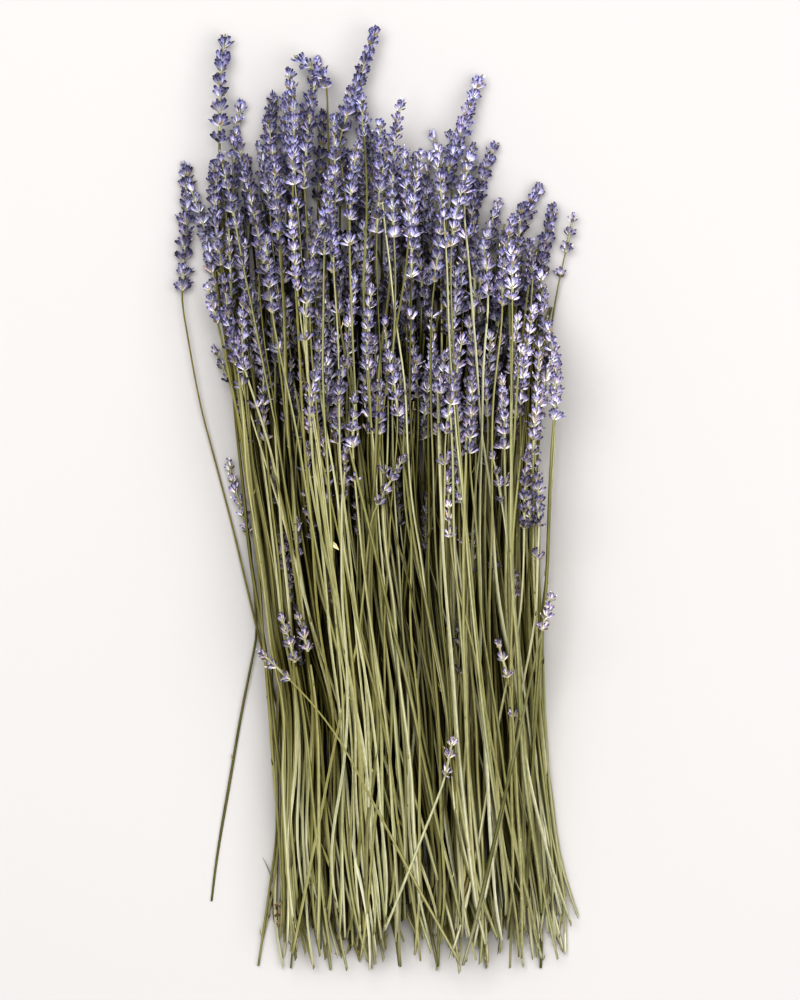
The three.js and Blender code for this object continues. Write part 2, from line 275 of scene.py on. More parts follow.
def middle_height(tree, x, y):
    above = tree.ray_cast(Vector((x * mm, y * mm, sky)), Vector((0, 0, -1)))[0]
    below = tree.ray_cast(Vector((x * mm, y * mm, -sky)), Vector((0, 0, 1)))[0]
    return None if above is None or below is None else (above.z + below.z) / 2 / mm


def smooth(values, reach):
    offsets = np.arange(-int(3 * reach), int(3 * reach) + 1)
    weights = np.exp(-0.5 * (offsets / reach) ** 2)
    weights /= weights.sum()
    ends = np.pad(values, len(offsets) // 2, mode="reflect", reflect_type="odd")
    return np.convolve(ends, weights, mode="valid")


def wander(count, size):
    """A slow random drift along a line, of about the given size."""
    drift = smooth(draw.normal(0, 1, count), wander_reach / line_step)
    return size * drift / (drift.std() + 1e-6)


def swing(y, base_y):
    """How far a head bends sideways, from nothing at its base."""
    share = np.clip((y - base_y) / (y[-1] - base_y), 0, 1)
    return draw.normal(0, tip_swing / 2) * share + draw.normal(0, tip_swing / 2) * share ** 2


def sprig_line(sprig, stem_tree, spike_tree):
    foot_y = sprig["route"][-1][1]
    tip_y = sprig["route"][0][1]
    probes = np.arange(foot_y + 1, tip_y - 2, probe_step)
    heights = []
    for y, x in zip(probes, plan_x(sprig["route"], sprig["bend"], probes)):
        tree = stem_tree if y < sprig["base_y"] else spike_tree
        heights.append(middle_height(tree, x - centre_x, y - centre_y))
    found = [i for i, z in enumerate(heights) if z is not None]
    y = np.linspace(foot_y, tip_y, 2 + int((tip_y - foot_y) / line_step))
    z = np.interp(y, probes[found], np.array([heights[i] for i in found]))
    z = smooth(z, sag_smoothing / line_step) + wander(len(y), wander_up)
    x = plan_x(sprig["route"], sprig["bend"], y)
    x = smooth(x, bend_smoothing / line_step)
    if sprig["lone"]:
        x += wander(len(y), wander_side / 2)
    else:
        x += wander(len(y), wander_side) + swing(y, sprig["base_y"])
    return np.column_stack([x - centre_x, y - centre_y, z])


all_sprigs = []
for sheaf_name, clumps in laid:
    stem_tree = surface_tree(["stems_" + sheaf_name])
    for clump_name, sprigs in clumps:
        spike_tree = surface_tree(["spikes_" + clump_name])
        for sprig in sprigs:
            sprig["line"] = sprig_line(sprig, stem_tree, spike_tree)
            all_sprigs.append(sprig)
highest = max(sprig["line"][:, 2].max() for sprig in all_sprigs)
print("heights read for", len(all_sprigs), "sprigs, the highest at", round(highest, 1), "mm")

# %% [markdown]
# ## Walking along a line
#
# Every part of a sprig sits somewhere along its line, turned to the way the line runs there.
# So two helpers do most of the placing: one finds points and directions at given lengths along
# a line, and one makes a tube around them. A curve with a bevel would give a round tube, but
# a lavender stem is square with soft grooves, and a ring of eight points can say so.


# %% Helpers for lines and tubes
def lengths_along(line):
    return np.concatenate([[0], np.cumsum(np.linalg.norm(np.diff(line, axis=0), axis=1))])


def frames_at(line, distances):
    run = lengths_along(line)
    centre = np.column_stack([np.interp(distances, run, line[:, k]) for k in range(3)])
    reach = line_step
    before = np.column_stack([np.interp(distances - reach, run, line[:, k]) for k in range(3)])
    after = np.column_stack([np.interp(distances + reach, run, line[:, k]) for k in range(3)])
    ahead = after - before
    ahead /= np.linalg.norm(ahead, axis=1, keepdims=True)
    side = np.cross(ahead, [0, 0, 1])
    side /= np.linalg.norm(side, axis=1, keepdims=True)
    return centre, ahead, side, np.cross(side, ahead)


def tube(line, distances, radii, around, turns, slant=0.0):
    """A closed tube: around holds the ring's radius factors, turns the ring's turn at each place.
    The first ring is cut at a slant."""
    centre, ahead, side, up = frames_at(line, distances)
    sides = len(around)
    angles = 2 * np.pi * np.arange(sides) / sides + turns[:, None]
    reach = radii[:, None] * around
    points = (centre[:, None] + (reach * np.cos(angles))[..., None] * side[:, None]
              + (reach * np.sin(angles))[..., None] * up[:, None])
    points[0] += slant * np.cos(angles[0])[:, None] * ahead[0]
    points = points.reshape(-1, 3)
    rings = len(distances)
    ends = np.array([centre[0], centre[-1]])
    k = np.arange(sides)
    nxt = (k + 1) % sides
    faces = []
    for r in range(rings - 1):
        a, b = r * sides + k, r * sides + nxt
        faces.append(np.column_stack([a, a + sides, b + sides]))
        faces.append(np.column_stack([a, b + sides, b]))
    foot, tip = rings * sides, rings * sides + 1
    faces.append(np.column_stack([k, nxt, np.full(sides, foot)]))
    last = (rings - 1) * sides
    faces.append(np.column_stack([last + nxt, last + k, np.full(sides, tip)]))
    return np.vstack([points, ends]), np.vstack(faces)


def linear(hex_colour):
    channels = np.array([int(hex_colour[i:i + 2], 16) for i in (1, 3, 5)]) / 255
    return np.where(channels <= 0.04045, channels / 12.92, ((channels + 0.055) / 1.055) ** 2.4)


def smooth_step(values, low, high):
    share = np.clip((values - low) / (high - low), 0, 1)
    return share * share * (3 - 2 * share)


def mix(a, b, share):
    share = np.asarray(share, float)[..., None]
    return a * (1 - share) + b * share


# %% [markdown]
# ## Gathering shapes into one mesh
#
# Thousands of calyces as thousands of objects would make Blender crawl, so each clump gathers its
# shapes in one mesh, with a colour at every point. The table that the bunch lies on and the space
# it fills are fixed: a small shape that would reach past them is moved back in, and a stem that
# touches the table is pressed flat on it.

# %% Gathering shapes
above_table = 0.02
room_low = np.array(cad_box[0]) / mm + [0, 0, above_table]
room_high = np.array(cad_box[1]) / mm


def keep_inside(points):
    over = np.minimum(0, room_high - points.max(axis=0))
    under = np.maximum(0, room_low - points.min(axis=0))
    return points + over + under


class Piece:
    """Gathers shapes with a colour at every point, and makes one mesh of them."""

    def __init__(self, name):
        self.name = name
        self.points = []
        self.faces = []
        self.colours = []
        self.count = 0

    def add(self, points, faces, colours):
        self.points.append(points)
        self.faces.append(faces + self.count)
        self.colours.append(colours)
        self.count += len(points)

    def finish(self, material, slot, smooth_shading, *nodes):
        points = np.clip(np.vstack(self.points), room_low, room_high) * mm
        faces = np.vstack(self.faces)
        mesh = bpy.data.meshes.new(self.name)
        mesh.vertices.add(len(points))
        mesh.vertices.foreach_set("co", points.astype(np.float32).ravel())
        mesh.loops.add(faces.size)
        mesh.loops.foreach_set("vertex_index", faces.astype(np.int32).ravel())
        mesh.polygons.add(len(faces))
        mesh.polygons.foreach_set("loop_start", np.arange(0, faces.size, 3, dtype=np.int32))
        mesh.update(calc_edges=True)
        colour = mesh.color_attributes.new("tint", "FLOAT_COLOR", "POINT")
        rgba = np.column_stack([np.vstack(self.colours), np.ones(len(points))])
        colour.data.foreach_set("color", rgba.astype(np.float32).ravel())
        mesh.polygons.foreach_set("use_smooth", np.full(len(faces), smooth_shading))
        mesh.materials.append(material)
        piece = bpy.data.objects.new(self.name, mesh)
        bpy.context.scene.collection.objects.link(piece)
        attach(piece, "root")
        if nodes:
            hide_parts(*nodes)
        return len(faces)


# %% [markdown]
# ## A map of the pile
#
# Two questions come up again and again: where does a loose stem come to rest on the pile, and how
# much daylight reaches a place inside it? A map of how high the solids rise answers both. It is
# read once, with one ray from above for each cell of a grid. The last few sprigs lie over all the
# rest, so a loose stem rests on a second map, from which they are left out.

# %% A map of the pile
map_step = 2.0
map_reach_x = 104
map_reach_y = 226
map_x = np.arange(-map_reach_x, map_reach_x + 1, map_step)
map_y = np.arange(-map_reach_y, map_reach_y + 1, map_step)
laid_last = ("late_left", "crossed_pair", "late_right")


def read_map(names):
    tree = surface_tree(names)
    hits = [[tree.ray_cast(Vector((x * mm, y * mm, sky)), Vector((0, 0, -1)))[0] for y in map_y]
            for x in map_x]
    return np.array([[0.0 if hit is None else hit.z / mm for hit in row] for row in hits])


def look_up(height_map, x, y):
    column = np.clip(np.rint((x - map_x[0]) / map_step).astype(int), 0, len(map_x) - 1)
    row = np.clip(np.rint((y - map_y[0]) / map_step).astype(int), 0, len(map_y) - 1)
    return height_map[column, row]


pile_map = read_map(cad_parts)
late_nodes = {"stems_" + sheaf_name for sheaf_name, _ in laid if sheaf_name in laid_last}
late_nodes |= {"spikes_" + name for sheaf, clumps in laid if sheaf in laid_last for name, _ in clumps}
earlier_map = read_map([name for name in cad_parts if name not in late_nodes])
rest_map = np.max([np.roll(earlier_map, shift, 0) for shift in (-1, 0, 1)], axis=0)
near_cells = [(i, j) for i in (-1, 0, 1) for j in (-1, 0, 1)]
shade_map = np.mean([np.roll(pile_map, shift, (0, 1)) for shift in near_cells], axis=0)
print("map of", pile_map.size, "cells,", int((pile_map > 0).sum()), "of them over the bunch")

# %% [markdown]
# ## Daylight in the pile
#
# What lies deep in the pile is dark, and in a photograph the gaps are nearly black. A loose pile of
# thin stems lets more light through in a render than in life, where fluff and crumbs fill it, so the
# tint helps the lamps. From a place in the pile one looks around in eight directions, finds how high
# the pile rises there, and takes the share of open sky. Where the pale floor lies near, it throws
# light back into the dark places, so the flanks and the cut ends are lighter than the middle. The
# tint belongs to the place in the pile and not to the view, so it holds from every side.

# %% Daylight in the pile
darkest = 0.07
near_top = 2.9
directions = 8
looking_out = (3.0, 6.0, 10.0, 16.0, 24.0)
floor_glow = 1.6
floor_reaches = (14.0, 28.0, 42.0)
bare_floor = 1.0


def daylight(points):
    x, y, z = points.T
    open_sky = np.zeros(len(points))
    near_floor = np.zeros(len(points))
    for angle in 2 * np.pi * np.arange(directions) / directions:
        slope = np.zeros(len(points))
        for reach in looking_out:
            tops = look_up(shade_map, x + reach * math.cos(angle), y + reach * math.sin(angle))
            slope = np.maximum(slope, (tops - z - near_top) / reach)
        open_sky += (1 - slope / np.hypot(1, slope)) / directions
        for reach in floor_reaches:
            tops = look_up(shade_map, x + reach * math.cos(angle), y + reach * math.sin(angle))
            near_floor += (tops < bare_floor) / directions / len(floor_reaches)
    lit = open_sky + floor_glow * near_floor * (1 - open_sky)
    return darkest + (1 - darkest) * lit


# %% [markdown]
# ## What dry stems and dry flowers look like
#
# A dry lavender stem is matt olive green with straw-coloured streaks along it, and its grooves
# carry painted shade, a darker tint than its ridges. The paint comes in two layers: a tint at every
# point, which knows what is ridge and what is groove, and a fine noise in the material. The stems
# all run nearly along Y, so a noise stretched along Y gives the streaks without any unwrapping.
# The calyces are downy. Sheen gives the soft pale edge of down, and a small bump breaks up the light.


# %% Materials
def plant_material(name, roughness, grain, strength, bump, sheen):
    material = bpy.data.materials.new(name)
    material.use_nodes = True
    nodes = material.node_tree.nodes
    links = material.node_tree.links
    shader = nodes["Principled BSDF"]
    shader.inputs["Roughness"].default_value = roughness
    shader.inputs["Specular IOR Level"].default_value = 0.3
    shader.inputs["Sheen Weight"].default_value = sheen
    shader.inputs["Sheen Roughness"].default_value = 0.5
    tint = nodes.new("ShaderNodeVertexColor")
    tint.layer_name = "tint"
    place = nodes.new("ShaderNodeTexCoord")
    stretch = nodes.new("ShaderNodeMapping")
    stretch.inputs["Scale"].default_value = grain
    noise = nodes.new("ShaderNodeTexNoise")
    noise.inputs["Scale"].default_value = 1
    noise.inputs["Detail"].default_value = 3
    spread = nodes.new("ShaderNodeMapRange")
    spread.inputs["From Min"].default_value = 0.25
    spread.inputs["From Max"].default_value = 0.75
    spread.inputs["To Min"].default_value = 1 - strength
    spread.inputs["To Max"].default_value = 1 + strength
    shade = nodes.new("ShaderNodeMix")
    shade.data_type = "RGBA"
    shade.blend_type = "MULTIPLY"
    shade.inputs["Factor"].default_value = 1
    relief = nodes.new("ShaderNodeBump")
    relief.inputs["Strength"].default_value = bump
    relief.inputs["Distance"].default_value = 0.1 * mm
    links.new(place.outputs["Object"], stretch.inputs["Vector"])
    links.new(stretch.outputs["Vector"], noise.inputs["Vector"])
    links.new(noise.outputs["Fac"], spread.inputs["Value"])
    links.new(tint.outputs["Color"], shade.inputs["A"])
    links.new(spread.outputs["Result"], shade.inputs["B"])
    links.new(shade.outputs["Result"], shader.inputs["Base Color"])
    links.new(noise.outputs["Fac"], relief.inputs["Height"])
    links.new(relief.outputs["Normal"], shader.inputs["Normal"])
    return material


stem_finish = plant_material("dry_stem", 0.6, (1700, 50, 1700), 0.2, 0.4, 0.04)
flower_finish = plant_material("downy_calyx", 0.8, (1900, 1900, 1900), 0.34, 0.7, 0.12)

# %% [markdown]
# ## Stems
#
# A mint-family stem is square, with a rounded ridge at each corner and a shallow groove between.
# Each one is a tube of eight points a ring, ridge and groove in turn, that twists slowly as it grows
# and thins towards the flowers. Six points do where a stem is hidden. No two are the same green:
# some dried to straw, some stayed olive. The foot is cut at a slant and its tint grows lighter towards
# the cut, and light from the floor gets in between the ends.

# %% Stems
stem_radius = 1.0
girth_at_foot = 1.05
thinning = 0.45
foot_width = 0.68
foot_reach = 40.0
groove_depth = 0.24
most_twist = 1.6
most_slant = 1.4
ring_step = 6.0
fewest_rings = 4
stem_greens = [linear(c) for c in ("#c6c6aa", "#b0b28e", "#d3d3bf", "#9ea077", "#797a53", "#bbbca1")]
straw = linear("#d8d6c3")
pith = linear("#e6dfbd")
most_straw = 0.3
patch_size = 1.5
patch_contrast = 0.9
patch_start = 0.3
palest_patch = 0.5
groove_shade = 0.72
warm_shadow = np.array([0.93, 1.0, 1.7])
stem_tones = (0.47, 0.96)
most_light = 0.95
lighter_right = 0.002
# how much lighter the tint is at the cut end, and over what length that fades
lighter_foot = 1.22
lighter_foot_reach = 100.0
open_end = 0.45
open_reach = 70.0


def stem_tints(rings, ridge, light):
    green = mix(stem_greens[draw.integers(len(stem_greens))], straw, draw.uniform(0, most_straw))
    patches = smooth(draw.uniform(0, 1, rings), patch_size)
    along = mix(green, straw, np.clip(patch_contrast * patches - patch_start, 0, palest_patch))
    # painted shade: the grooves get a darker tint than the ridges
    around = np.where(ridge == 1.0, 1.0, groove_shade)
    along = along * light[:, None] ** warm_shadow
    return (along[:, None] * around[None, :, None]).reshape(-1, 3)


def grow_stem(piece, line, radius, end, sides=8, step=ring_step, tone=1.0):
    rings = max(fewest_rings, int(end / step))
    distances = np.linspace(0, end, rings)
    share = distances / end
    radii = radius * (girth_at_foot - thinning * share)
    radii = radii * np.interp(distances, [0, foot_reach], [foot_width, 1])
    ridge = np.where(np.arange(sides) % 2 == 0, 1.0, 1 - groove_depth)
    turns = draw.uniform(0, np.pi) + draw.uniform(-most_twist, most_twist) * share
    points, faces = tube(line, distances, radii, ridge, turns, draw.uniform(0, most_slant))
    centres = frames_at(line, distances)[0]
    light = daylight(centres) * draw.uniform(*stem_tones) * tone
    light = light * (1 + lighter_right * centres[:, 0])
    # the tint grows lighter towards the cut end
    light = np.minimum(most_light, light * np.interp(distances, [0, lighter_foot_reach], [lighter_foot, 1]))
    light = np.maximum(light, np.interp(distances, [0, open_reach], [open_end, 0]))
    colours = stem_tints(rings, ridge, light)
    piece.add(points, faces, np.vstack([colours, pith * light[0], pith * light[-1]]))


# %% [markdown]
# A side shoot or a leaf scar is a few millimetres long, and there are more of them low on the stem.
# Each is one small three-sided spike with a bend in it, which is all that shows at this size.

# %% Side shoots
shoot_corners = ((1, 0), (-0.5, 0.87), (-0.5, -0.87))
shoot_girths = (0.35, 0.28)
shoot_lengths = (1.5, 5.0)
crowded_low = 1.6
shoot_browns = [linear(c) for c in ("#a79f68", "#857c4d", "#c2b98a", "#6f6a45")]


def grow_shoot(piece, line, distance, length):
    centre, ahead, side, up = (part[0] for part in frames_at(line, np.array([distance])))
    angle = draw.uniform(0, 2 * np.pi)
    out = side * math.cos(angle) + up * math.sin(angle)
    start = centre - 0.3 * out
    bend = centre + 0.35 * length * out + 0.5 * length * ahead
    tip = bend + 0.1 * length * out + 0.5 * length * ahead
    around = np.cross(out, ahead)
    points = [ring + girth * (out * c + around * s)
              for ring, girth in zip((start, bend), shoot_girths) for c, s in shoot_corners]
    points = keep_inside(np.array(points + [tip]))
    faces = np.array([(0, 2, 1), (0, 1, 4), (0, 4, 3), (1, 2, 5), (1, 5, 4), (2, 0, 3), (2, 3, 5),
                      (3, 4, 6), (4, 5, 6), (5, 3, 6)])
    brown = shoot_browns[draw.integers(len(shoot_browns))] * draw.uniform(0.7, 1.2)
    piece.add(points, faces, np.tile(brown * daylight(centre[None]), (len(points), 1)))


def grow_shoots(piece, line, end, number):
    for _ in range(number):
        place = end * draw.uniform(0.0, 1.0) ** crowded_low
        grow_shoot(piece, line, place, draw.uniform(*shoot_lengths))


# %% [markdown]
# The last leaves still cling to some stems near the cut end: narrow dry strips, curled and brown
# at the edge. A flat four-sided tube along a short bent line is enough for one.

# %% Dry leaves
leaf_section = np.array([1, 0.16, 1, 0.16])
leaf_outline = np.array([0.3, 0.8, 1.0, 0.8, 0.45, 0.1])
leaf_lengths = (7, 20)
leaf_widths = (0.6, 1.2)
leaf_above_table = 0.5
leaf_tints = [linear(c) for c in ("#9a9464", "#7d7650", "#b5ae82", "#6d5f45", "#5c4d39")]


def grow_leaf(piece, line, distance):
    centre, ahead, side, up = (part[0] for part in frames_at(line, np.array([distance])))
    angle = draw.uniform(-0.5, 0.5) + np.pi * draw.integers(2)
    out = side * math.cos(angle) + up * math.sin(angle)
    length = draw.uniform(*leaf_lengths)
    share = np.linspace(0, 1, len(leaf_outline))[:, None]
    bend = draw.uniform(-0.3, 0.2)
    leaf = centre + length * share * (ahead * draw.uniform(0.8, 1) + (0.2 + bend * share) * out)
    leaf[:, 2] = np.maximum(leaf[:, 2], leaf_above_table)
    width = draw.uniform(*leaf_widths)
    turns = draw.uniform(0, np.pi) + draw.uniform(-1, 1) * share[:, 0]
    points, faces = tube(leaf, lengths_along(leaf), width * leaf_outline, leaf_section, turns)
    tint = leaf_tints[draw.integers(len(leaf_tints))] * draw.uniform(0.6, 1.1) * daylight(centre[None])
    piece.add(keep_inside(points), faces, np.tile(tint, (len(points), 1)))


# %% [markdown]
# Now the sprigs of the solids get their stems, in the order in which the bunch was laid. All stems
# of a sheaf go in one mesh, which stands for the sheaf's solid. A few thin, darker stems run alone.

# %% Stems of the solids' own sprigs
width_of = {"far_left": 0.8, "left_stray": 0.72, "bowed_tip": 0.62, "right_sprig": 0.75}
thin_tone = 0.7
into_head = 1
shoots_each = 3
leaf_odds = 0.5
leaf_zone = 55.0
total = 0
for sheaf_name, clumps in laid:
    piece = Piece("sheaf_" + sheaf_name)
    for clump_name, sprigs in clumps:
        for sprig in sprigs:
            line = sprig["line"]
            run = lengths_along(line)
            sprig["base"] = float(np.interp(sprig["base_y"] - centre_y, line[:, 1], run))
            radius = stem_radius * draw.uniform(0.8, 1.04) * width_of.get(clump_name, 1)
            tone = thin_tone if clump_name in width_of else 1.0
            grow_stem(piece, line, radius, sprig["base"] + into_head, tone=tone)
            grow_shoots(piece, line, sprig["base"], shoots_each)
            while not sprig["lone"] and draw.uniform() < leaf_odds:
                grow_leaf(piece, line, draw.uniform(1, leaf_zone))
    total += piece.finish(stem_finish, "stem", True, "stems_" + sheaf_name)
print("stems:", total, "triangles")

# %% [markdown]
# ## One calyx
#
# What looks like a flower on a dry spike is its calyx, a ribbed downy cup about 5 mm long. It is
# pale at the foot and violet above, swells towards the top and ends in small teeth round a dark bud.
# It is modelled once along +Z, then copied with its own size, lean and tint. A plainer one, with
# five sides and no grooves, does for heads deep in the pile. Instances would be lighter, but real
# meshes keep their shape wherever the model goes.

# %% The calyx shape
calyx_heights = (0, 2.9, 4.0)
calyx_radii = (0.26, 0.76, 0.52)
calyx_foot = -0.1
rib_depth = 0.2
tooth = 0.4
bud_height = 4.4


def calyx_shape(sides):
    rib = np.where((np.arange(sides) % 2 == 0) | (sides % 2 == 1), 1.0, 1 - rib_depth)
    angles = 2 * np.pi * np.arange(sides) / sides
    points = []
    for height, radius in zip(calyx_heights, calyx_radii):
        rise = tooth * (rib == 1.0) if height == calyx_heights[-1] else 0 * rib
        points.append(np.column_stack([
            radius * rib * np.cos(angles), radius * rib * np.sin(angles), height + rise,
        ]))
    rings = len(calyx_heights)
    points = np.vstack(points + [[[0, 0, bud_height]], [[0, 0, calyx_foot]]])
    k = np.arange(sides)
    nxt = (k + 1) % sides
    faces = []
    for r in range(rings - 1):
        a, b = r * sides + k, r * sides + nxt
        faces.append(np.column_stack([a, b, b + sides]))
        faces.append(np.column_stack([a, b + sides, a + sides]))
    last = (rings - 1) * sides
    faces.append(np.column_stack([last + k, last + nxt, np.full(sides, rings * sides)]))
    faces.append(np.column_stack([nxt, k, np.full(sides, rings * sides + 1)]))
    ribs = np.concatenate([np.tile(rib == 1.0, rings), [False, False]]).astype(float)
    return points, np.vstack(faces), ribs


fine_calyx = calyx_shape(6)
far_calyx = calyx_shape(5)
print("fine calyx:", len(fine_calyx[1]), "triangles, far calyx:", len(far_calyx[1]))

# %% [markdown]
# ## Tints of a calyx
#
# The tint runs from a silvery foot through grey-violet to deep blue-violet at the mouth, with a
# nearly black bud. Ribs are paler than the skin between them, because the down sits on them.
# Low whorls on a spike are paler, and some calyces have turned brown. A ramp node along the calyx
# could do this for one calyx, but here each of thousands has its own ramp, so the points hold it.

# %% Calyx tints
silver = linear("#bfbab3")
grey_violet = linear("#aca8b3")
violet = linear("#7d7999")
deep_violet = linear("#46436c")
bud_dark = linear("#15131f")
rib_pale = linear("#d6d2d6")
withered = linear("#8b7f72")
pale_foot = 0.16
pale_foot_more = 0.3
violet_from = 0.62
deep_from = 0.88
rib_share = 0.45
rib_fade = 0.75


def calyx_tints(shape, pale, hue, brown, light):
    points, _, ribs = shape
    height = np.clip(points[:, 2] / bud_height, 0, 1)
    stops = np.array([0, pale_foot + pale_foot_more * pale, violet_from, deep_from, 1.0])
    above_foot = mix(silver, grey_violet, 0.8 - 0.5 * pale)
    shades = np.array([silver, above_foot, violet, deep_violet, bud_dark])
    tint = np.column_stack([np.interp(height, stops, shades[:, k]) for k in range(3)])
    tint = mix(tint, rib_pale, rib_share * ribs * (1 - rib_fade * height))
    tint = mix(tint, withered, brown)
    return tint * light * hue


# %% [markdown]
# ## Turning a shape into place
#
# A shape on +Z is turned so that it leans from the stem's own direction towards the outside.
# Object rotations would do, but the shapes end up in one mesh, so their points are turned here.

# %% Placing a shape
def turned(shape_points, out, ahead, lean, roll, size):
    side = np.cross(ahead, out)
    up = ahead * math.cos(lean) + out * math.sin(lean)
    front = np.cross(side, up)
    c, s = math.cos(roll), math.sin(roll)
    x = size * (shape_points[:, 0] * c - shape_points[:, 1] * s)
    y = size * (shape_points[:, 0] * s + shape_points[:, 1] * c)
    return x[:, None] * front + y[:, None] * side + size * shape_points[:, 2:3] * up


# %% [markdown]
# Out of some calyces still sticks the shrivelled flower, a pale or brown scrap a millimetre or two
# long. It makes the outline of a spike ragged, which is much of what makes it look dried.

# %% Shrivelled flowers
def flower_shape():
    sides = 4
    angles = 2 * np.pi * np.arange(sides) / sides
    # Each ring has its height, its radius and how far it has curled off the axis.
    rings = [(3.4, 0.3, 0.0), (4.7, 0.45, 0.15), (5.5, 0.2, 0.5)]
    tip = [0.8, 0, 5.8]
    points = [np.column_stack([r * np.cos(angles) + off, r * np.sin(angles), np.full(sides, z)])
              for z, r, off in rings]
    points = np.vstack(points + [[tip]])
    k = np.arange(sides)
    nxt = (k + 1) % sides
    faces = [(0, 2, 1), (0, 3, 2)]
    for r in (0, sides):
        faces += [(r + a, r + b, r + b + sides) for a, b in zip(k, nxt)]
        faces += [(r + a, r + b + sides, r + a + sides) for a, b in zip(k, nxt)]
    faces += [(2 * sides + a, 2 * sides + b, 3 * sides) for a, b in zip(k, nxt)]
    return points, np.array(faces)


dry_flower = flower_shape()
flower_tints = [linear(c) for c in ("#9b97b8", "#77739c", "#b5aeb4", "#6b6066", "#887d78")]

# %% [markdown]
# ## A whorl
#
# Calyces stand round the stem in rings called whorls. A whorl is really two fans on opposite sides,
# and the next whorl has its fans at right angles to these. In each the upper calyces stand nearly
# upright and the lower ones droop outward, which rounds the whorl to a small ball. One even ring
# for each whorl would look like a string of stars. A papery bract lies under each fan.

# %% Whorls
fan_width = 2.6
uneven_turn = 0.4
droop_range = (0.35, 1.5)
uneven_tilt = 6
rise_range = 1.7
uneven_rise = 0.3
calyx_sizes = (0.78, 1.12)
brown_odds = 0.07
most_brown = 0.7
light_middle = 0.13
light_spread = 0.42
brightest = 1.6
flower_odds = 0.2


def grow_calyx(piece, shape, at, angle, lean, size, pale, mood, root, rise):
    centre, ahead, side, up = at
    out = side * math.cos(angle) + up * math.sin(angle)
    roll = draw.uniform(0, 2 * np.pi)
    start = centre + out * root + ahead * rise
    brown = draw.uniform(0, most_brown) if draw.uniform() < brown_odds else 0
    hue = mood * np.array([draw.uniform(0.93, 1.07), 1, draw.uniform(0.94, 1.08)])
    light = min(brightest, math.exp(draw.normal(light_middle, light_spread)))
    tints = calyx_tints(shape, pale, hue, brown, light)
    points = turned(shape[0], out, ahead, lean, roll, size) + start
    piece.add(keep_inside(points), shape[1], tints)
    if shape is fine_calyx and draw.uniform() < flower_odds:
        scrap = turned(dry_flower[0], out, ahead, lean, roll, size) + start
        tint = flower_tints[draw.integers(len(flower_tints))] * mood * draw.uniform(0.8, 1.3)
        piece.add(keep_inside(scrap), dry_flower[1], np.tile(tint, (len(scrap), 1)))


def grow_whorl(piece, shape, at, turn, number, lean, size, pale, mood, root):
    in_fan = math.ceil(number / 2)
    for k in range(number):
        place = (k // 2 + 0.5) / in_fan - 0.5
        angle = turn + np.pi * (k % 2) + fan_width * place + draw.uniform(-uneven_turn, uneven_turn)
        droop = draw.uniform(*droop_range)
        tilt = lean * droop + draw.normal(0, uneven_tilt)
        rise = rise_range * (1 - droop) + draw.uniform(-uneven_rise, uneven_rise)
        scale = size * draw.uniform(*calyx_sizes)
        grow_calyx(piece, shape, at, angle, math.radians(tilt), scale, pale, mood, root, rise)


# %% [markdown]
# A bract is a papery scale, a thin pointed oval that curls about its length. Both faces are modelled,
# each as a fan of triangles round its own middle point, so it is a closed shape from any side.

# %% Bracts
bract_curl = 0.25
bract_thickness = 0.12
bract_middle = 1.8
bract_size = 0.8
bract_offset = 0.5
bract_leans = (35, 60)


def bract_shape():
    outline = np.array([
        (0, 0), (0.9, 0.7), (1.25, 1.7), (0.7, 2.7), (0, 3.5), (-0.7, 2.7), (-1.25, 1.7), (-0.9, 0.7),
    ])
    curl = bract_curl * outline[:, 0] ** 2
    points = np.column_stack([curl, outline[:, 0], outline[:, 1]])
    middles = [[-bract_thickness, 0, bract_middle], [bract_thickness, 0, bract_middle]]
    points = np.vstack([points, middles])
    count = len(outline)
    k = np.arange(count)
    nxt = (k + 1) % count
    faces = np.vstack([
        np.column_stack([k, nxt, np.full(count, count + 1)]),
        np.column_stack([nxt, k, np.full(count, count)]),
    ])
    return points, faces


bract = bract_shape()
bract_tans = [linear(c) for c in ("#877f69", "#978d77", "#76705f", "#aaa28e")]


def grow_bracts(piece, at, turn, light):
    centre, ahead, side, up = at
    for angle in (turn, turn + np.pi):
        out = side * math.cos(angle) + up * math.sin(angle)
        lean = math.radians(draw.uniform(*bract_leans))
        points = turned(bract[0], out, ahead, lean, 0, bract_size)
        points += centre + bract_offset * out - bract_offset * ahead
        tan = bract_tans[draw.integers(len(bract_tans))] * draw.uniform(0.75, 1.1) * light
        piece.add(keep_inside(points), bract[1], np.tile(tan, (len(points), 1)))


# %% [markdown]
# ## A spike
#
# Whorls crowd together at the tip and stand apart at the foot of the spike. Often one more small,
# pale whorl sits alone a little further down the stem. Spikes differ: some are full and dark,
# some thin and faded, and those at the right are a little lighter, so each draws its own mood.
# A spike on top catches full light and one below is darker than a stem there would be, because
# its calyces shade each other. Heads that reach high kept more of their blue, and the low ones,
# rubbed and bleached among the stems, have turned drab.

# %% Where the whorls sit, and how light they are
fine_pitch = 5.3
uneven_pitch = (0.94, 1.08)
fewest_whorls = 2
crowded_up = 0.9
uneven_place = 0.7
tip_room = 5.6
blunt_room = 7.0
lone_whorl_odds = 0.35
lone_whorl_gap = (9, 20)
lone_whorl_share = -0.2
top_light = 1.2
depth_contrast = 1.65
neutral_height = 60.0
bluer_up = 0.0007
less_red = 0.4


def whorl_places(base, length, pitch, blunt):
    """How far along the stem each whorl sits, and how far up the spike as a share."""
    whorls = max(fewest_whorls, int(round(length / (pitch * draw.uniform(*uneven_pitch)))))
    share = np.linspace(0, 1, whorls) ** crowded_up
    distances = base + share * (length - tip_room - blunt_room * blunt)
    distances[1:-1] += draw.uniform(-uneven_place, uneven_place, whorls - 2)
    return distances, share


def add_lone_whorl(base, distances, share):
    distances = np.concatenate([[base - draw.uniform(*lone_whorl_gap)], distances])
    return distances, np.concatenate([[lone_whorl_share], share])


def whorl_hues(centres):
    blue = bluer_up * (centres[:, 1] - neutral_height)
    return np.column_stack([1 - less_red * blue, np.ones(len(blue)), 1 + blue])


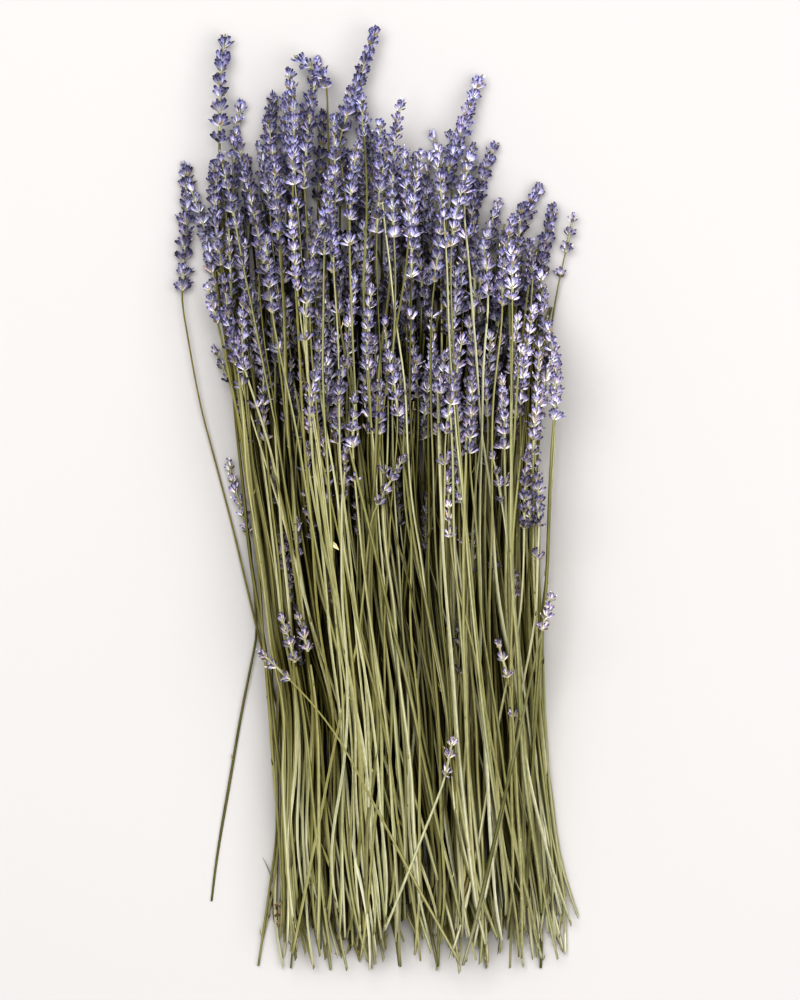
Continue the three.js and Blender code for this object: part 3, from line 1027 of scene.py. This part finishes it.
# %% [markdown]
# A slim green core runs up the middle of a spike and holds the whorls. Between sparse whorls it
# shows, so it is modelled, as a plain tube of six sides.

# %% The core of a spike
core_shade = 0.7
core_silver = 0.2
core_starts_below = 1.0
core_ends_below = 2.5
core_radii = (0.8, 0.4)
core_rings = 6
core_sides = 6


def grow_core(piece, sprig, length, light):
    start = sprig["base"] - core_starts_below
    end = sprig["base"] + length - core_ends_below
    distances = np.linspace(start, end, core_rings)
    radii = np.linspace(*core_radii, core_rings)
    core, faces = tube(sprig["line"], distances, radii, np.ones(core_sides), np.zeros(core_rings))
    tint = core_shade * light.mean() * mix(stem_greens[1], silver, core_silver)
    piece.add(core, faces, np.tile(tint, (len(core), 1)))


# %% [markdown]
# Low whorls are open: they hold more and larger calyces, which lean further out and are paler. The
# upper ones are half grown and closed. A blunt spike, one cut or worn short, stays open to its end.
# Five upright calyces close the tip.

# %% Spikes
open_lean = 46
closed_lean = 24
least_open = 0.12
fewest_calyces = 9
more_when_open = 9
lone_whorl_calyces = 7
uneven_number = (0.75, 1.15)
closed_size = 0.76
open_size_more = 0.26
uneven_size = (0.92, 1.06)
pale_start = 0.3
uneven_pale = 0.15
moods = (0.68, 1.36)
fades = (-0.3, 0.6)
# heads are tinted lighter towards the right, by this share per millimetre
heads_lighter_right = 0.0014
uneven_quarter = 0.5
whorl_root = 0.6
tip_calyces = 5
tip_lean = 14
tip_size = 0.7
tip_rise = 1.3
tip_root = 0.3


def grow_spike(piece, sprig, shape, fullness=1.0, pitch=fine_pitch, size=0.9, blunt=0.0, stain_and_light=1.0):
    line = sprig["line"]
    length = lengths_along(line)[-1] - sprig["base"]
    distances, share = whorl_places(sprig["base"], length, pitch, blunt)
    # mood holds a head's own stain, and for heads in full light their painted light
    mood = stain_and_light * draw.uniform(*moods) * (1 + heads_lighter_right * line[-1, 0])
    fade = draw.uniform(*fades)
    if draw.uniform() < lone_whorl_odds:
        distances, share = add_lone_whorl(sprig["base"], distances, share)
    centres, aheads, sides, ups = frames_at(line, distances)
    light = top_light * daylight(centres) ** depth_contrast
    hues = whorl_hues(centres)
    grow_core(piece, sprig, length, light)
    turn = draw.uniform(0, np.pi)
    for w in range(len(distances)):
        at = (centres[w], aheads[w], sides[w], ups[w])
        open_share = max(blunt, least_open, min(1, 1 - share[w]))
        lean = closed_lean + (open_lean - closed_lean) * open_share ** 0.6
        most = (fewest_calyces + more_when_open * min(1, 1.8 * open_share + 0.2)) * fullness
        drawn = lone_whorl_calyces if share[w] < 0 else most * draw.uniform(*uneven_number)
        scale = size * (closed_size + open_size_more * min(1, 2.2 * open_share))
        scale *= draw.uniform(*uneven_size)
        pale = open_share - pale_start + fade + draw.uniform(-uneven_pale, uneven_pale)
        tone = mood * light[w] * hues[w]
        grow_whorl(piece, shape, at, turn, int(round(drawn)), lean, scale, np.clip(pale, 0, 1), tone,
                   whorl_root)
        if shape is fine_calyx:
            grow_bracts(piece, at, turn, light[w])
        turn += np.pi / 2 + draw.uniform(-uneven_quarter, uneven_quarter)
    tip = (centres[-1] + tip_rise * aheads[-1], aheads[-1], sides[-1], ups[-1])
    tone = mood * light[-1] * hues[-1]
    grow_whorl(piece, shape, tip, turn, tip_calyces, tip_lean, tip_size * size, 0, tone, tip_root)


# %% [markdown]
# The heads of the solids' own sprigs are grown clump by clump, and each mesh stands for its clump's
# solid. Most draw how full they are from one range. Those that stand out in the bunch are set one
# by one: the tall ones are dense, the low and late ones slim, and a few in full light are paler.

# %% Spikes of the solids' own sprigs
slim_look = dict(pitch=5.6, size=0.78)
bowed_look = dict(fullness=0.8, pitch=4.6, size=0.86, blunt=0.4)
tall_look = dict(fullness=1.25, pitch=6.3, size=1.0, blunt=0.4, stain_and_light=0.85)
dense_look = dict(fullness=1.3, pitch=4.9, size=0.98, blunt=0.15)
lone_look = dict(fullness=1.1, pitch=5.8, size=1.0, blunt=0.3)
slim_fullness = (0.5, 0.7)
clump_fullness = (0.75, 1.05)
slim = {"left_low_pair", "left_last", "left_brow", "left_middle_brow", "left_bank", "left_crossing",
        "right_crossing", "right_bud", "right_last", "pale_sprig", "left_stray", "left_wisp",
        "right_sprig", "left_late", "middle_late"}
dense = {"tall_right", "right_peak", "right_slope", "right_rim", "tall_middle"}
# painted light: heads that lie in full light get a lighter tint by these factors
pale_heads = {"left_stray": 1.4, "pale_sprig": 1.25, "left_crossing": 1.2, "right_bud": 1.05,
              "right_rim": 1.15, "far_left": 1.2}
uneven_start = 8.0
bowed_start = 5
total = 0
for sheaf_name, clumps in laid:
    for clump_name, sprigs in clumps:
        piece = Piece("heads_" + clump_name)
        for sprig in sprigs:
            stain_and_light = pale_heads.get(clump_name, 1.0)
            if not sprig["lone"]:
                sprig["base"] += uneven_start * draw.uniform(-0.4, 1)
            if clump_name in slim:
                fullness = draw.uniform(*slim_fullness)
                grow_spike(piece, sprig, fine_calyx, fullness, stain_and_light=stain_and_light, **slim_look)
            elif clump_name == "bowed_tip":
                sprig["base"] -= bowed_start
                grow_spike(piece, sprig, fine_calyx, **bowed_look)
            elif clump_name == "tall_left":
                grow_spike(piece, sprig, fine_calyx, **tall_look)
            elif clump_name in dense:
                grow_spike(piece, sprig, fine_calyx, stain_and_light=stain_and_light, **dense_look)
            elif sprig["lone"]:
                grow_spike(piece, sprig, fine_calyx, stain_and_light=stain_and_light, **lone_look)
            else:
                grow_spike(piece, sprig, fine_calyx, draw.uniform(*clump_fullness))
        total += piece.finish(flower_finish, "flower", False, "spikes_" + clump_name)
print("spikes:", total, "triangles")

# %% [markdown]
# ## The rest of the bunch
#
# A real bunch holds far more sprigs than the solids do. The others lie wedged between them: their
# heads fill the gaps in the crown, and their stems run hidden through the pile, so that one sees
# dark depth and not the floor. Placing them by hand would be slow and would show a pattern.
# Here each new head goes where the crown is thinnest: some places are drawn, and the one over the
# thinnest ground wins. The draw is seeded, so the bunch comes out the same every time.

# %% Where the crown is thin
crown_edge = np.array([
    (-86, 150), (-70, 158), (-58, 150), (-50, 186), (-36, 190), (-26, 172), (-10, 186), (6, 178),
    (16, 156), (27, 160), (36, 176), (46, 158), (56, 138), (70, 136), (80, 92), (78, 30),
    (50, 14), (20, 24), (-16, 20), (-44, 34), (-64, 56), (-76, 96),
], float)
cell_reach = 92
cell_rows = 214
cell_x, cell_y = np.meshgrid(np.arange(-cell_reach, cell_reach + 1), np.arange(cell_rows))


def inside(outline, x, y):
    within = np.zeros(x.shape, bool)
    for (ax, ay), (bx, by) in zip(outline, np.roll(outline, -1, axis=0)):
        crosses = (ay > y) != (by > y)
        at = ax + (bx - ax) * (y - ay) / (by - ay if by != ay else 1)
        within ^= crosses & (x < at)
    return within


def near_line(start, end, reach):
    run = end - start
    share = ((cell_x - start[0]) * run[0] + (cell_y - start[1]) * run[1]) / (run @ run)
    share = np.clip(share, 0, 1)
    off = np.hypot(cell_x - start[0] - share * run[0], cell_y - start[1] - share * run[1])
    return off < reach


head_reach = 3.2
crown = inside(crown_edge, cell_x, cell_y)
depth_of_heads = np.zeros(cell_x.shape)
for sprig in all_sprigs:
    base = frames_at(sprig["line"], np.array([sprig["base"]]))[0][0]
    depth_of_heads += near_line(base[:2], sprig["line"][-1][:2], head_reach)
print("crown:", int(crown.sum()), "square mm, bare:", int((crown & (depth_of_heads == 0)).sum()))

# %% [markdown]
# The bunch has a waist: its edges draw in towards the middle and flare again at the cut ends.
# A hidden stem is given a place across the bunch at its head and another at its foot, as a share
# of the width, so it never leaves the bundle on its way down. How deep it runs is a share too,
# of the pile's height there: near 0 it creeps along the table, and above 1 it lies on top.
# A dry stem is stiff. One on top rests on the high places only, and between them it bends no
# tighter than a wide arc.

# %% Lines of the other sprigs
edge_y = np.array([-209, -181, -150, -118, -92, -56, -11, 30, 66, 102, 150, 200])
left_edge = np.array([-39, -41, -42, -41, -42, -49, -55, -61, -66, -71, -75, -75])
right_edge = np.array([89, 86, 81, 77, 75, 73, 72, 73, 75, 78, 80, 80])
floor_clearance = 1.2
stem_clearance = 1.2
head_clearance = 4.2
lowest_quantile = 0.2
depth_smoothing = 20.0
rest_smoothing = 12.0
stiff_arc = 160.0
plan_smoothing = 9.0
dive_depth = 0.35
neck_reach = 25
step_down = 5


def across(share, y):
    return np.interp(y, edge_y, left_edge) * (1 - share) + np.interp(y, edge_y, right_edge) * share


def under_crown(share, top_y, cover):
    """Moves the top of a stem down until heads cover it by so many millimetres."""
    while not crown[int(top_y) + cover, int(across(share, top_y)) + cell_reach]:
        top_y -= step_down
    return np.array([across(share, top_y), top_y])


def other_line(base, lean, length, foot_share, foot_y, depth, nest, dive=0.0):
    """From the foot up to the tip. depth is how high in the pile the stem runs, nest the head."""
    tip_y = base[1] + length * math.cos(lean)
    y = np.linspace(foot_y, tip_y, 2 + int((tip_y - foot_y) / line_step))
    left = np.interp(base[1], edge_y, left_edge)
    right = np.interp(base[1], edge_y, right_edge)
    share = np.interp(y, [foot_y, base[1]], [foot_share, (base[0] - left) / (right - left)])
    x = np.where(y < base[1], across(share, y), base[0] + (y - base[1]) * math.tan(lean))
    x = smooth(x, plan_smoothing / line_step) + wander(len(y), wander_side)
    tops = look_up(rest_map, x, y)
    under_heads = dive_depth * smooth(tops, depth_smoothing / line_step)
    softness = depth_smoothing
    if depth > 1:
        sag = (y[:, None] - y) ** 2 / (2 * stiff_arc)
        tops = (tops - sag).max(axis=1)
        softness = rest_smoothing
    target = np.maximum(floor_clearance, depth * tops)
    if dive:
        hidden = smooth_step(y, base[1] - dive, base[1])
        target = target * (1 - hidden) + under_heads * hidden
    in_head = y >= base[1]
    low, high = np.quantile(tops[in_head], [lowest_quantile, 1 - lowest_quantile])
    if length:
        target = np.where(in_head, low * (1 - nest) + high * nest, target)
    z = smooth(target, softness / line_step)
    room = head_clearance if length else stem_clearance
    clearance = np.interp(y, [base[1] - neck_reach, base[1]], [stem_clearance, room])
    return np.column_stack([x, y, np.clip(z, clearance, room_high[2] - clearance)])


# %% [markdown]
# The last sprigs laid on a bunch lie on top, with their stems over the others. These are the ones
# that the eye follows, so they are listed one by one: tip, foot of the head, and the cut end's place.
# Where along Y a stem was cut is drawn: a middle, a scatter, and the two limits it stays between.

# %% Sprigs on top
top_sprigs = [
    ((-75, 151), (-69, 104), 0.02), ((-63, 160), (-55, 124), 0.14), ((-58, 146), (-50, 100), 0.22),
    ((-46, 150), (-42, 112), 0.08), ((-36, 130), (-34, 92), 0.30), ((-24, 146), (-23, 108), 0.20),
    ((-12, 160), (-11, 124), 0.36), ((8, 178), (8, 116), 0.46), ((17, 156), (16, 98), 0.56),
    ((-20, 142), (-19, 100), 0.50), ((30, 132), (26, 96), 0.62), ((38, 150), (33, 112), 0.82),
    ((51, 116), (50, 90), 0.74), ((63, 113), (61, 88), 0.92), ((-50, 118), (-46, 82), 0.34),
    ((-75, 97), (-70, 78), 0.04), ((-9, 182), (-4, 162), 0.40), ((-41, 193), (-38, 150), 0.18),
    ((-35, 188), (-35, 140), 0.26), ((-28, 188), (-31, 138), 0.24), ((-47, 172), (-43, 128), 0.10),
    ((3, 162), (1, 118), 0.44), ((-20, 172), (-18, 132), 0.30),
]
on_top_depth = 1.01
sprig_cut = (-192, 10, -212, -165)


def cut_end(middle, scatter, lowest, highest):
    return np.clip(draw.normal(middle, scatter), lowest, highest)


def place_sprig(tip, base, foot_share, depth, nest):
    lean = math.atan2(tip[0] - base[0], tip[1] - base[1])
    length = math.hypot(tip[0] - base[0], tip[1] - base[1])
    line = other_line(np.array(base), lean, length, foot_share, cut_end(*sprig_cut), depth, nest)
    spot = float(np.interp(base[1], line[:, 1], lengths_along(line)))
    depth_of_heads[near_line(np.array(base), np.array(tip), head_reach)] += 1
    return dict(line=line, base=spot, on_top=depth > 1)


others = [place_sprig(tip, base, foot_share, on_top_depth, 1.0)
          for tip, base, foot_share in top_sprigs]
print(len(others), "sprigs placed by hand on top")

# %% [markdown]
# Of every five further heads one lies on top and leans its own way, two are wedged between their
# neighbours, and two lie on the table under all the others.

# %% Places of the other heads
other_heads = 90
tries = 40
head_lengths = (24, 46)
zone_x = (-84, 82)
zone_y = (16, 188)
lean_per_mm = 0.13
lean_scatter = (5, 8)
outside_cost = 1.2
crown_left = -75
crown_width = 155
foot_cross = 0.14
share_limits = (0.02, 0.98)
for n in range(other_heads):
    on_top = n % 5 == 0
    on_table = n % 5 in (1, 3)
    best = None
    for _ in range(tries):
        length = draw.uniform(*head_lengths)
        middle = np.array([draw.uniform(*zone_x), draw.uniform(*zone_y)])
        lean = math.radians(lean_per_mm * middle[0] + draw.normal(0, lean_scatter[on_top]))
        ahead = np.array([math.sin(lean), math.cos(lean)])
        base, tip = middle - ahead * length / 2, middle + ahead * length / 2
        covers = near_line(base, tip, head_reach)
        thin = crown / (1 + depth_of_heads) ** 2 - outside_cost * (~crown)
        gain = thin[covers].sum() / covers.sum()
        if best is None or gain > best[0]:
            best = (gain, base, tip)
    _, base, tip = best
    foot_share = (base[0] - crown_left) / crown_width + draw.normal(0, foot_cross)
    depth = on_top_depth if on_top else draw.uniform(0.2, 0.85)
    nest = draw.uniform(0.9, 1.1) if on_top else draw.uniform(0.3, 0.6)
    if on_table:
        depth, nest = draw.uniform(0, 0.2), 0
    others.append(place_sprig(tip, base, np.clip(foot_share, *share_limits), depth, nest))
print("other heads:", len(others), "still bare:", int((crown & (depth_of_heads == 0)).sum()), "square mm")

# %% [markdown]
# Some sprigs are short, or slipped down before the bunch was laid. Their thin heads lie far below
# the crown, half hidden among the stems. These few are listed one by one: tip, foot of the head,
# and how deep it lies.

# %% Low heads
low_heads = [
    ((-38, -7), (-35, -26), 0.97), ((-43, -19), (-41, -38), 0.8), ((36, -52), (37, -65), 0.9),
    ((40, -12), (43, -33), 0.97), ((29, 12), (33, -17), 1.01), ((37, 35), (37, 14), 0.98),
    ((-11, -88), (-12, -97), 0.85), ((-39, -28), (-38, -46), 0.7), ((-18, -35), (-18, -47), 0.8),
    ((2, -33), (2, -42), 0.85), ((-36, -60), (-34, -74), 0.9), ((50, -22), (51, -31), 0.8),
    ((67, 0), (67, -12), 0.9), ((12, 14), (10, -12), 0.9), ((-8, 10), (-9, -16), 0.8),
    ((54, 22), (56, -2), 0.95), ((-48, 18), (-45, -2), 0.95), ((20, 4), (22, -24), 0.8),
    ((-30, 6), (-28, -18), 0.75), ((62, -30), (61, -44), 0.85),
]
low_cross = 0.12
low_sprigs = []
for tip, base, depth in low_heads:
    left = np.interp(base[1], edge_y, left_edge)
    right = np.interp(base[1], edge_y, right_edge)
    foot_share = (base[0] - left) / (right - left) + draw.normal(0, low_cross)
    low_sprigs.append(place_sprig(tip, base, np.clip(foot_share, *share_limits), depth, depth))
print(len(low_sprigs), "low heads placed by hand")

# %% [markdown]
# The other sprigs are grown fourteen to a mesh, which keeps each mesh light. Stems and heads are
# meshes of their own, because their finishes differ. Most of these sprigs lie deep and show little,
# so their stems have six sides, and the calyces of the deep heads are the plainer ones.

# %% Pieces of the other sprigs
per_piece = 14
far_sides = 6
far_step = 8.0
far_shoots = 2
low_look = dict(pitch=5.2, size=0.72)
total = 0
for start in range(0, len(others), per_piece):
    number = start // per_piece + 1
    stems = Piece(f"inner_stems_{number}")
    heads = Piece(f"inner_heads_{number}")
    for sprig in others[start:start + per_piece]:
        radius = stem_radius * draw.uniform(0.65, 0.95)
        grow_stem(stems, sprig["line"], radius, sprig["base"] + into_head, far_sides, far_step)
        grow_shoots(stems, sprig["line"], sprig["base"], far_shoots)
        if sprig["on_top"]:
            grow_spike(heads, sprig, fine_calyx, draw.uniform(0.8, 1.15))
        else:
            grow_spike(heads, sprig, far_calyx, draw.uniform(0.65, 0.85))
    total += stems.finish(stem_finish, "stem", True)
    total += heads.finish(flower_finish, "flower", False)
stems = Piece("inner_stems_low")
heads = Piece("inner_heads_low")
for sprig in low_sprigs:
    radius = stem_radius * draw.uniform(0.6, 0.85)
    grow_stem(stems, sprig["line"], radius, sprig["base"] + into_head, far_sides, far_step)
    grow_spike(heads, sprig, fine_calyx, draw.uniform(0.4, 0.6), **low_look)
total += stems.finish(stem_finish, "stem", True)
total += heads.finish(flower_finish, "flower", False)
print("other sprigs:", total, "triangles")

# %% [markdown]
# More stems belong to spikes that lie quite out of sight under the crown, so only the stems are
# grown. Each layer has its name and number, the range of its depths, how far a stem may cross over
# on its way down, and the range along Y where its top may lie.

# %% Bare stems inside the pile
deep_layers = [
    ("floor", 70, (0.0, 0.15), 0.03, (90, 150)),
    ("deep", 44, (0.15, 0.5), 0.1, (30, 110)),
    ("middle", 54, (0.5, 0.95), 0.14, (30, 110)),
]
deep_cover = 20
deep_cut = (-182, 9, -210, -160)
bare_step = 10.0
bare_nest = 0.5
for name, number, depths, cross, tops in deep_layers:
    piece = Piece("inner_stems_" + name)
    for n in range(number):
        share = (n + draw.uniform(0.2, 0.8)) / number
        base = under_crown(share, draw.uniform(*tops), deep_cover)
        foot = np.clip(share + draw.normal(0, cross), 0.01, 0.99)
        depth = draw.uniform(*depths)
        line = other_line(base, 0.0, 0.0, foot, cut_end(*deep_cut), depth, bare_nest)
        radius = stem_radius * draw.uniform(0.6, 0.95)
        grow_stem(piece, line, radius, lengths_along(line)[-1], far_sides, bare_step)
    print("layer", name, piece.finish(stem_finish, "stem", True), "triangles")

# %% [markdown]
# Seen from the side the pile slopes down to the table, so a few stems lie low along both flanks.

# %% Stems along the flanks
flank_stems = 15
flank_share = 0.07
flank_tops = (66, 112)
flank_cross = 0.015
flank_cut = (-190, 9, -210, -165)
flank_rise = 16
flank_foot_y = -210
flank_slope = 90
piece = Piece("inner_stems_flanks")
for at_right in (False, True):
    for n in range(flank_stems):
        inward = flank_share * (n + draw.uniform(0, 1)) / flank_stems
        share = 1 - inward if at_right else inward
        base = under_crown(share, draw.uniform(*flank_tops), deep_cover)
        foot = np.clip(share + draw.normal(0, flank_cross), 0.0, 1.0)
        line = other_line(base, 0.0, 0.0, foot, cut_end(*flank_cut), 0.0, bare_nest)
        rise = draw.uniform(0.2, 1) * flank_rise * (n + 1) / flank_stems
        line[:, 2] += rise * np.clip((line[:, 1] - flank_foot_y) / flank_slope, 0, 1)
        radius = stem_radius * draw.uniform(0.7, 0.95)
        grow_stem(piece, line, radius, lengths_along(line)[-1], far_sides, bare_step)
print("stems along the flanks:", piece.finish(stem_finish, "stem", True), "triangles")

# %% [markdown]
# Others come out from under the heads and run over the lower ones down to the cut ends. There are
# more of these at the left, where the upper heads lean out and their stems slant back to the waist.

# %% Stems over the lower heads
over_stems = 28
over_depth = 1.02
over_dive = 62.0
over_tops = (62, 128)
over_cover = 24
over_cut = (-192, 9, -212, -165)
over_cross = 0.16
over_sides = 8
over_shoots = 2
bare_top = 30
more_at_left = 1.5
piece = Piece("inner_stems_over")
for n in range(over_stems):
    share = ((n + draw.uniform(0, 1)) / over_stems) ** more_at_left
    base = under_crown(share, draw.uniform(*over_tops), over_cover)
    foot = np.clip(0.04 + 0.92 * share + draw.normal(0, over_cross), 0.01, 0.99)
    line = other_line(base, 0.0, 0.0, foot, cut_end(*over_cut), over_depth, bare_nest, over_dive)
    length = lengths_along(line)[-1]
    grow_stem(piece, line, stem_radius * draw.uniform(0.75, 1.1), length, over_sides, far_step)
    grow_shoots(piece, line, length - bare_top, over_shoots)
    while draw.uniform() < leaf_odds:
        grow_leaf(piece, line, draw.uniform(1, leaf_zone))
print("stems over the lower heads:", piece.finish(stem_finish, "stem", True), "triangles")

# %% [markdown]
# A few odd things catch the eye: two thin stems stray out at the left of the cut ends, a withered
# tip points down there, and one papery cream bract lies loose on the stems in the middle.

# %% Odd stems
stray_routes = [
    [(-47, -60), (-46, -118), (-44, -150), (-53, -211)],
    [(-44, -80), (-42, -130), (-45, -172), (-51, -199)],
]
stray_height = 6.0
stray_climb = 60
stray_width = 0.65
withered_width = 0.5
withered_length = 13
piece = Piece("inner_stems_stray")
for route in stray_routes:
    route = np.array(route[::-1], float)
    y = np.arange(route[0, 1], route[-1, 1], line_step)
    x = smooth(np.interp(y, route[:, 1], route[:, 0]), plan_smoothing / line_step)
    z = np.interp(y, [route[0, 1], route[0, 1] + stray_climb], [floor_clearance, stray_height])
    line = np.column_stack([x, y, z])
    grow_stem(piece, line, stem_radius * stray_width, lengths_along(line)[-1])
    grow_shoots(piece, line, stray_climb, shoots_each)
withered_y = np.arange(-196, -139, line_step)[::-1]
withered_x = np.interp(withered_y, [-196, -184, -140], [-44, -43.4, -40])
withered_z = np.interp(withered_y, [-196, -140], [3.0, 8.0])
withered_line = np.column_stack([withered_x, withered_y, withered_z])
withered_sprig = dict(line=withered_line, base=lengths_along(withered_line)[-1] - withered_length)
grow_stem(piece, withered_line, stem_radius * withered_width, withered_sprig["base"] + into_head)
print("stray stems:", piece.finish(stem_finish, "stem", True), "triangles")

# %% Odd heads
withered_stain = np.array([0.75, 0.5, 0.35])
bract_spot = np.array([-19.4, -19.6])
cream = linear("#d2c8a6")
piece = Piece("inner_heads_odd")
grow_spike(piece, withered_sprig, fine_calyx, fullness=0.5, pitch=3.0, size=0.42, stain_and_light=withered_stain)
bract_z = look_up(rest_map, bract_spot[:1], bract_spot[1:])[0] + 2.5
papery = bract[0] * [1.0, 0.7, 1.35]
facing = turned(papery, np.array([0.0, 0.3, 0.95]), np.array([0.6, -0.76, 0.24]), 0.1, 0.5, 1.2)
piece.add(facing + [bract_spot[0], bract_spot[1], bract_z], bract[1], np.tile(cream, (len(facing), 1)))
print("odd things:", piece.finish(flower_finish, "flower", False), "triangles")

# %% [markdown]
# ## Floor, light and camera
#
# The bunch lies on a pale surface and is seen from straight above. The light is soft and comes from
# the upper left, so the gaps in the pile go dark and the floor shows a faint shadow at the right.

# %% Floor
floor_size = 4.0
floor_mesh = bpy.data.meshes.new("floor")
half = floor_size / 2
corners = [(-half, -half, 0), (half, -half, 0), (half, half, 0), (-half, half, 0)]
floor_mesh.from_pydata(corners, [], [(0, 1, 2, 3)])
floor = bpy.data.objects.new("floor", floor_mesh)
bpy.context.scene.collection.objects.link(floor)
floor.location.z = -above_table * mm
floor_paint = bpy.data.materials.new("pale_floor")
floor_paint.use_nodes = True
floor_shader = floor_paint.node_tree.nodes["Principled BSDF"]
floor_shader.inputs["Base Color"].default_value = (0.54, 0.53, 0.528, 1)
floor_shader.inputs["Roughness"].default_value = 0.9
floor_mesh.materials.append(floor_paint)


# %% [markdown]
# A big square lamp at the upper left stands for a window, and a weaker one at the right for the
# light that a room throws back. Small lamps would draw hard shadows, which the picture lacks. The
# look of high contrast makes the gaps deep and the floor nearly white, as the photograph has them.

# %% Light
def soft_light(name, place, size, power, colour):
    data = bpy.data.lights.new(name, "AREA")
    data.shape = "SQUARE"
    data.size = size
    data.energy = power
    data.color = colour
    lamp = bpy.data.objects.new(name, data)
    bpy.context.scene.collection.objects.link(lamp)
    lamp.location = place
    lamp.rotation_euler = (-Vector(place)).to_track_quat("-Z", "Y").to_euler()


soft_light("window", (-0.35, 0.45, 1.8), 1.3, 21.5, (1.0, 0.99, 0.98))
soft_light("bounce", (0.9, -0.2, 1.6), 1.6, 13.0, (1.0, 0.98, 0.97))
world = bpy.data.worlds.new("studio")
world.use_nodes = True
world.node_tree.nodes["Background"].inputs["Color"].default_value = (1.0, 0.99, 0.985, 1)
world.node_tree.nodes["Background"].inputs["Strength"].default_value = 0.3
bpy.context.scene.world = world
bpy.context.scene.view_settings.view_transform = "Standard"
bpy.context.scene.view_settings.look = "Very High Contrast"

# %% [markdown]
# The camera looks straight down from well above with a narrow angle, so high and low stems keep
# nearly the same scale. The height of the picture at the floor, in metres, sets that angle.

# %% Camera
picture_height = 0.450
camera_height = 2.4
camera_x = 10.7 * mm
camera_y = -1.5 * mm
camera_data = bpy.data.cameras.new("camera")
camera_data.sensor_fit = "VERTICAL"
camera_data.angle = 2 * math.atan(picture_height / 2 / camera_height)
camera = bpy.data.objects.new("camera", camera_data)
bpy.context.scene.collection.objects.link(camera)
camera.location = (camera_x, camera_y, camera_height)
camera.rotation_euler = (0, 0, 0)
bpy.context.scene.camera = camera
print("camera", camera_height, "m up, the picture", picture_height, "m high at the floor")
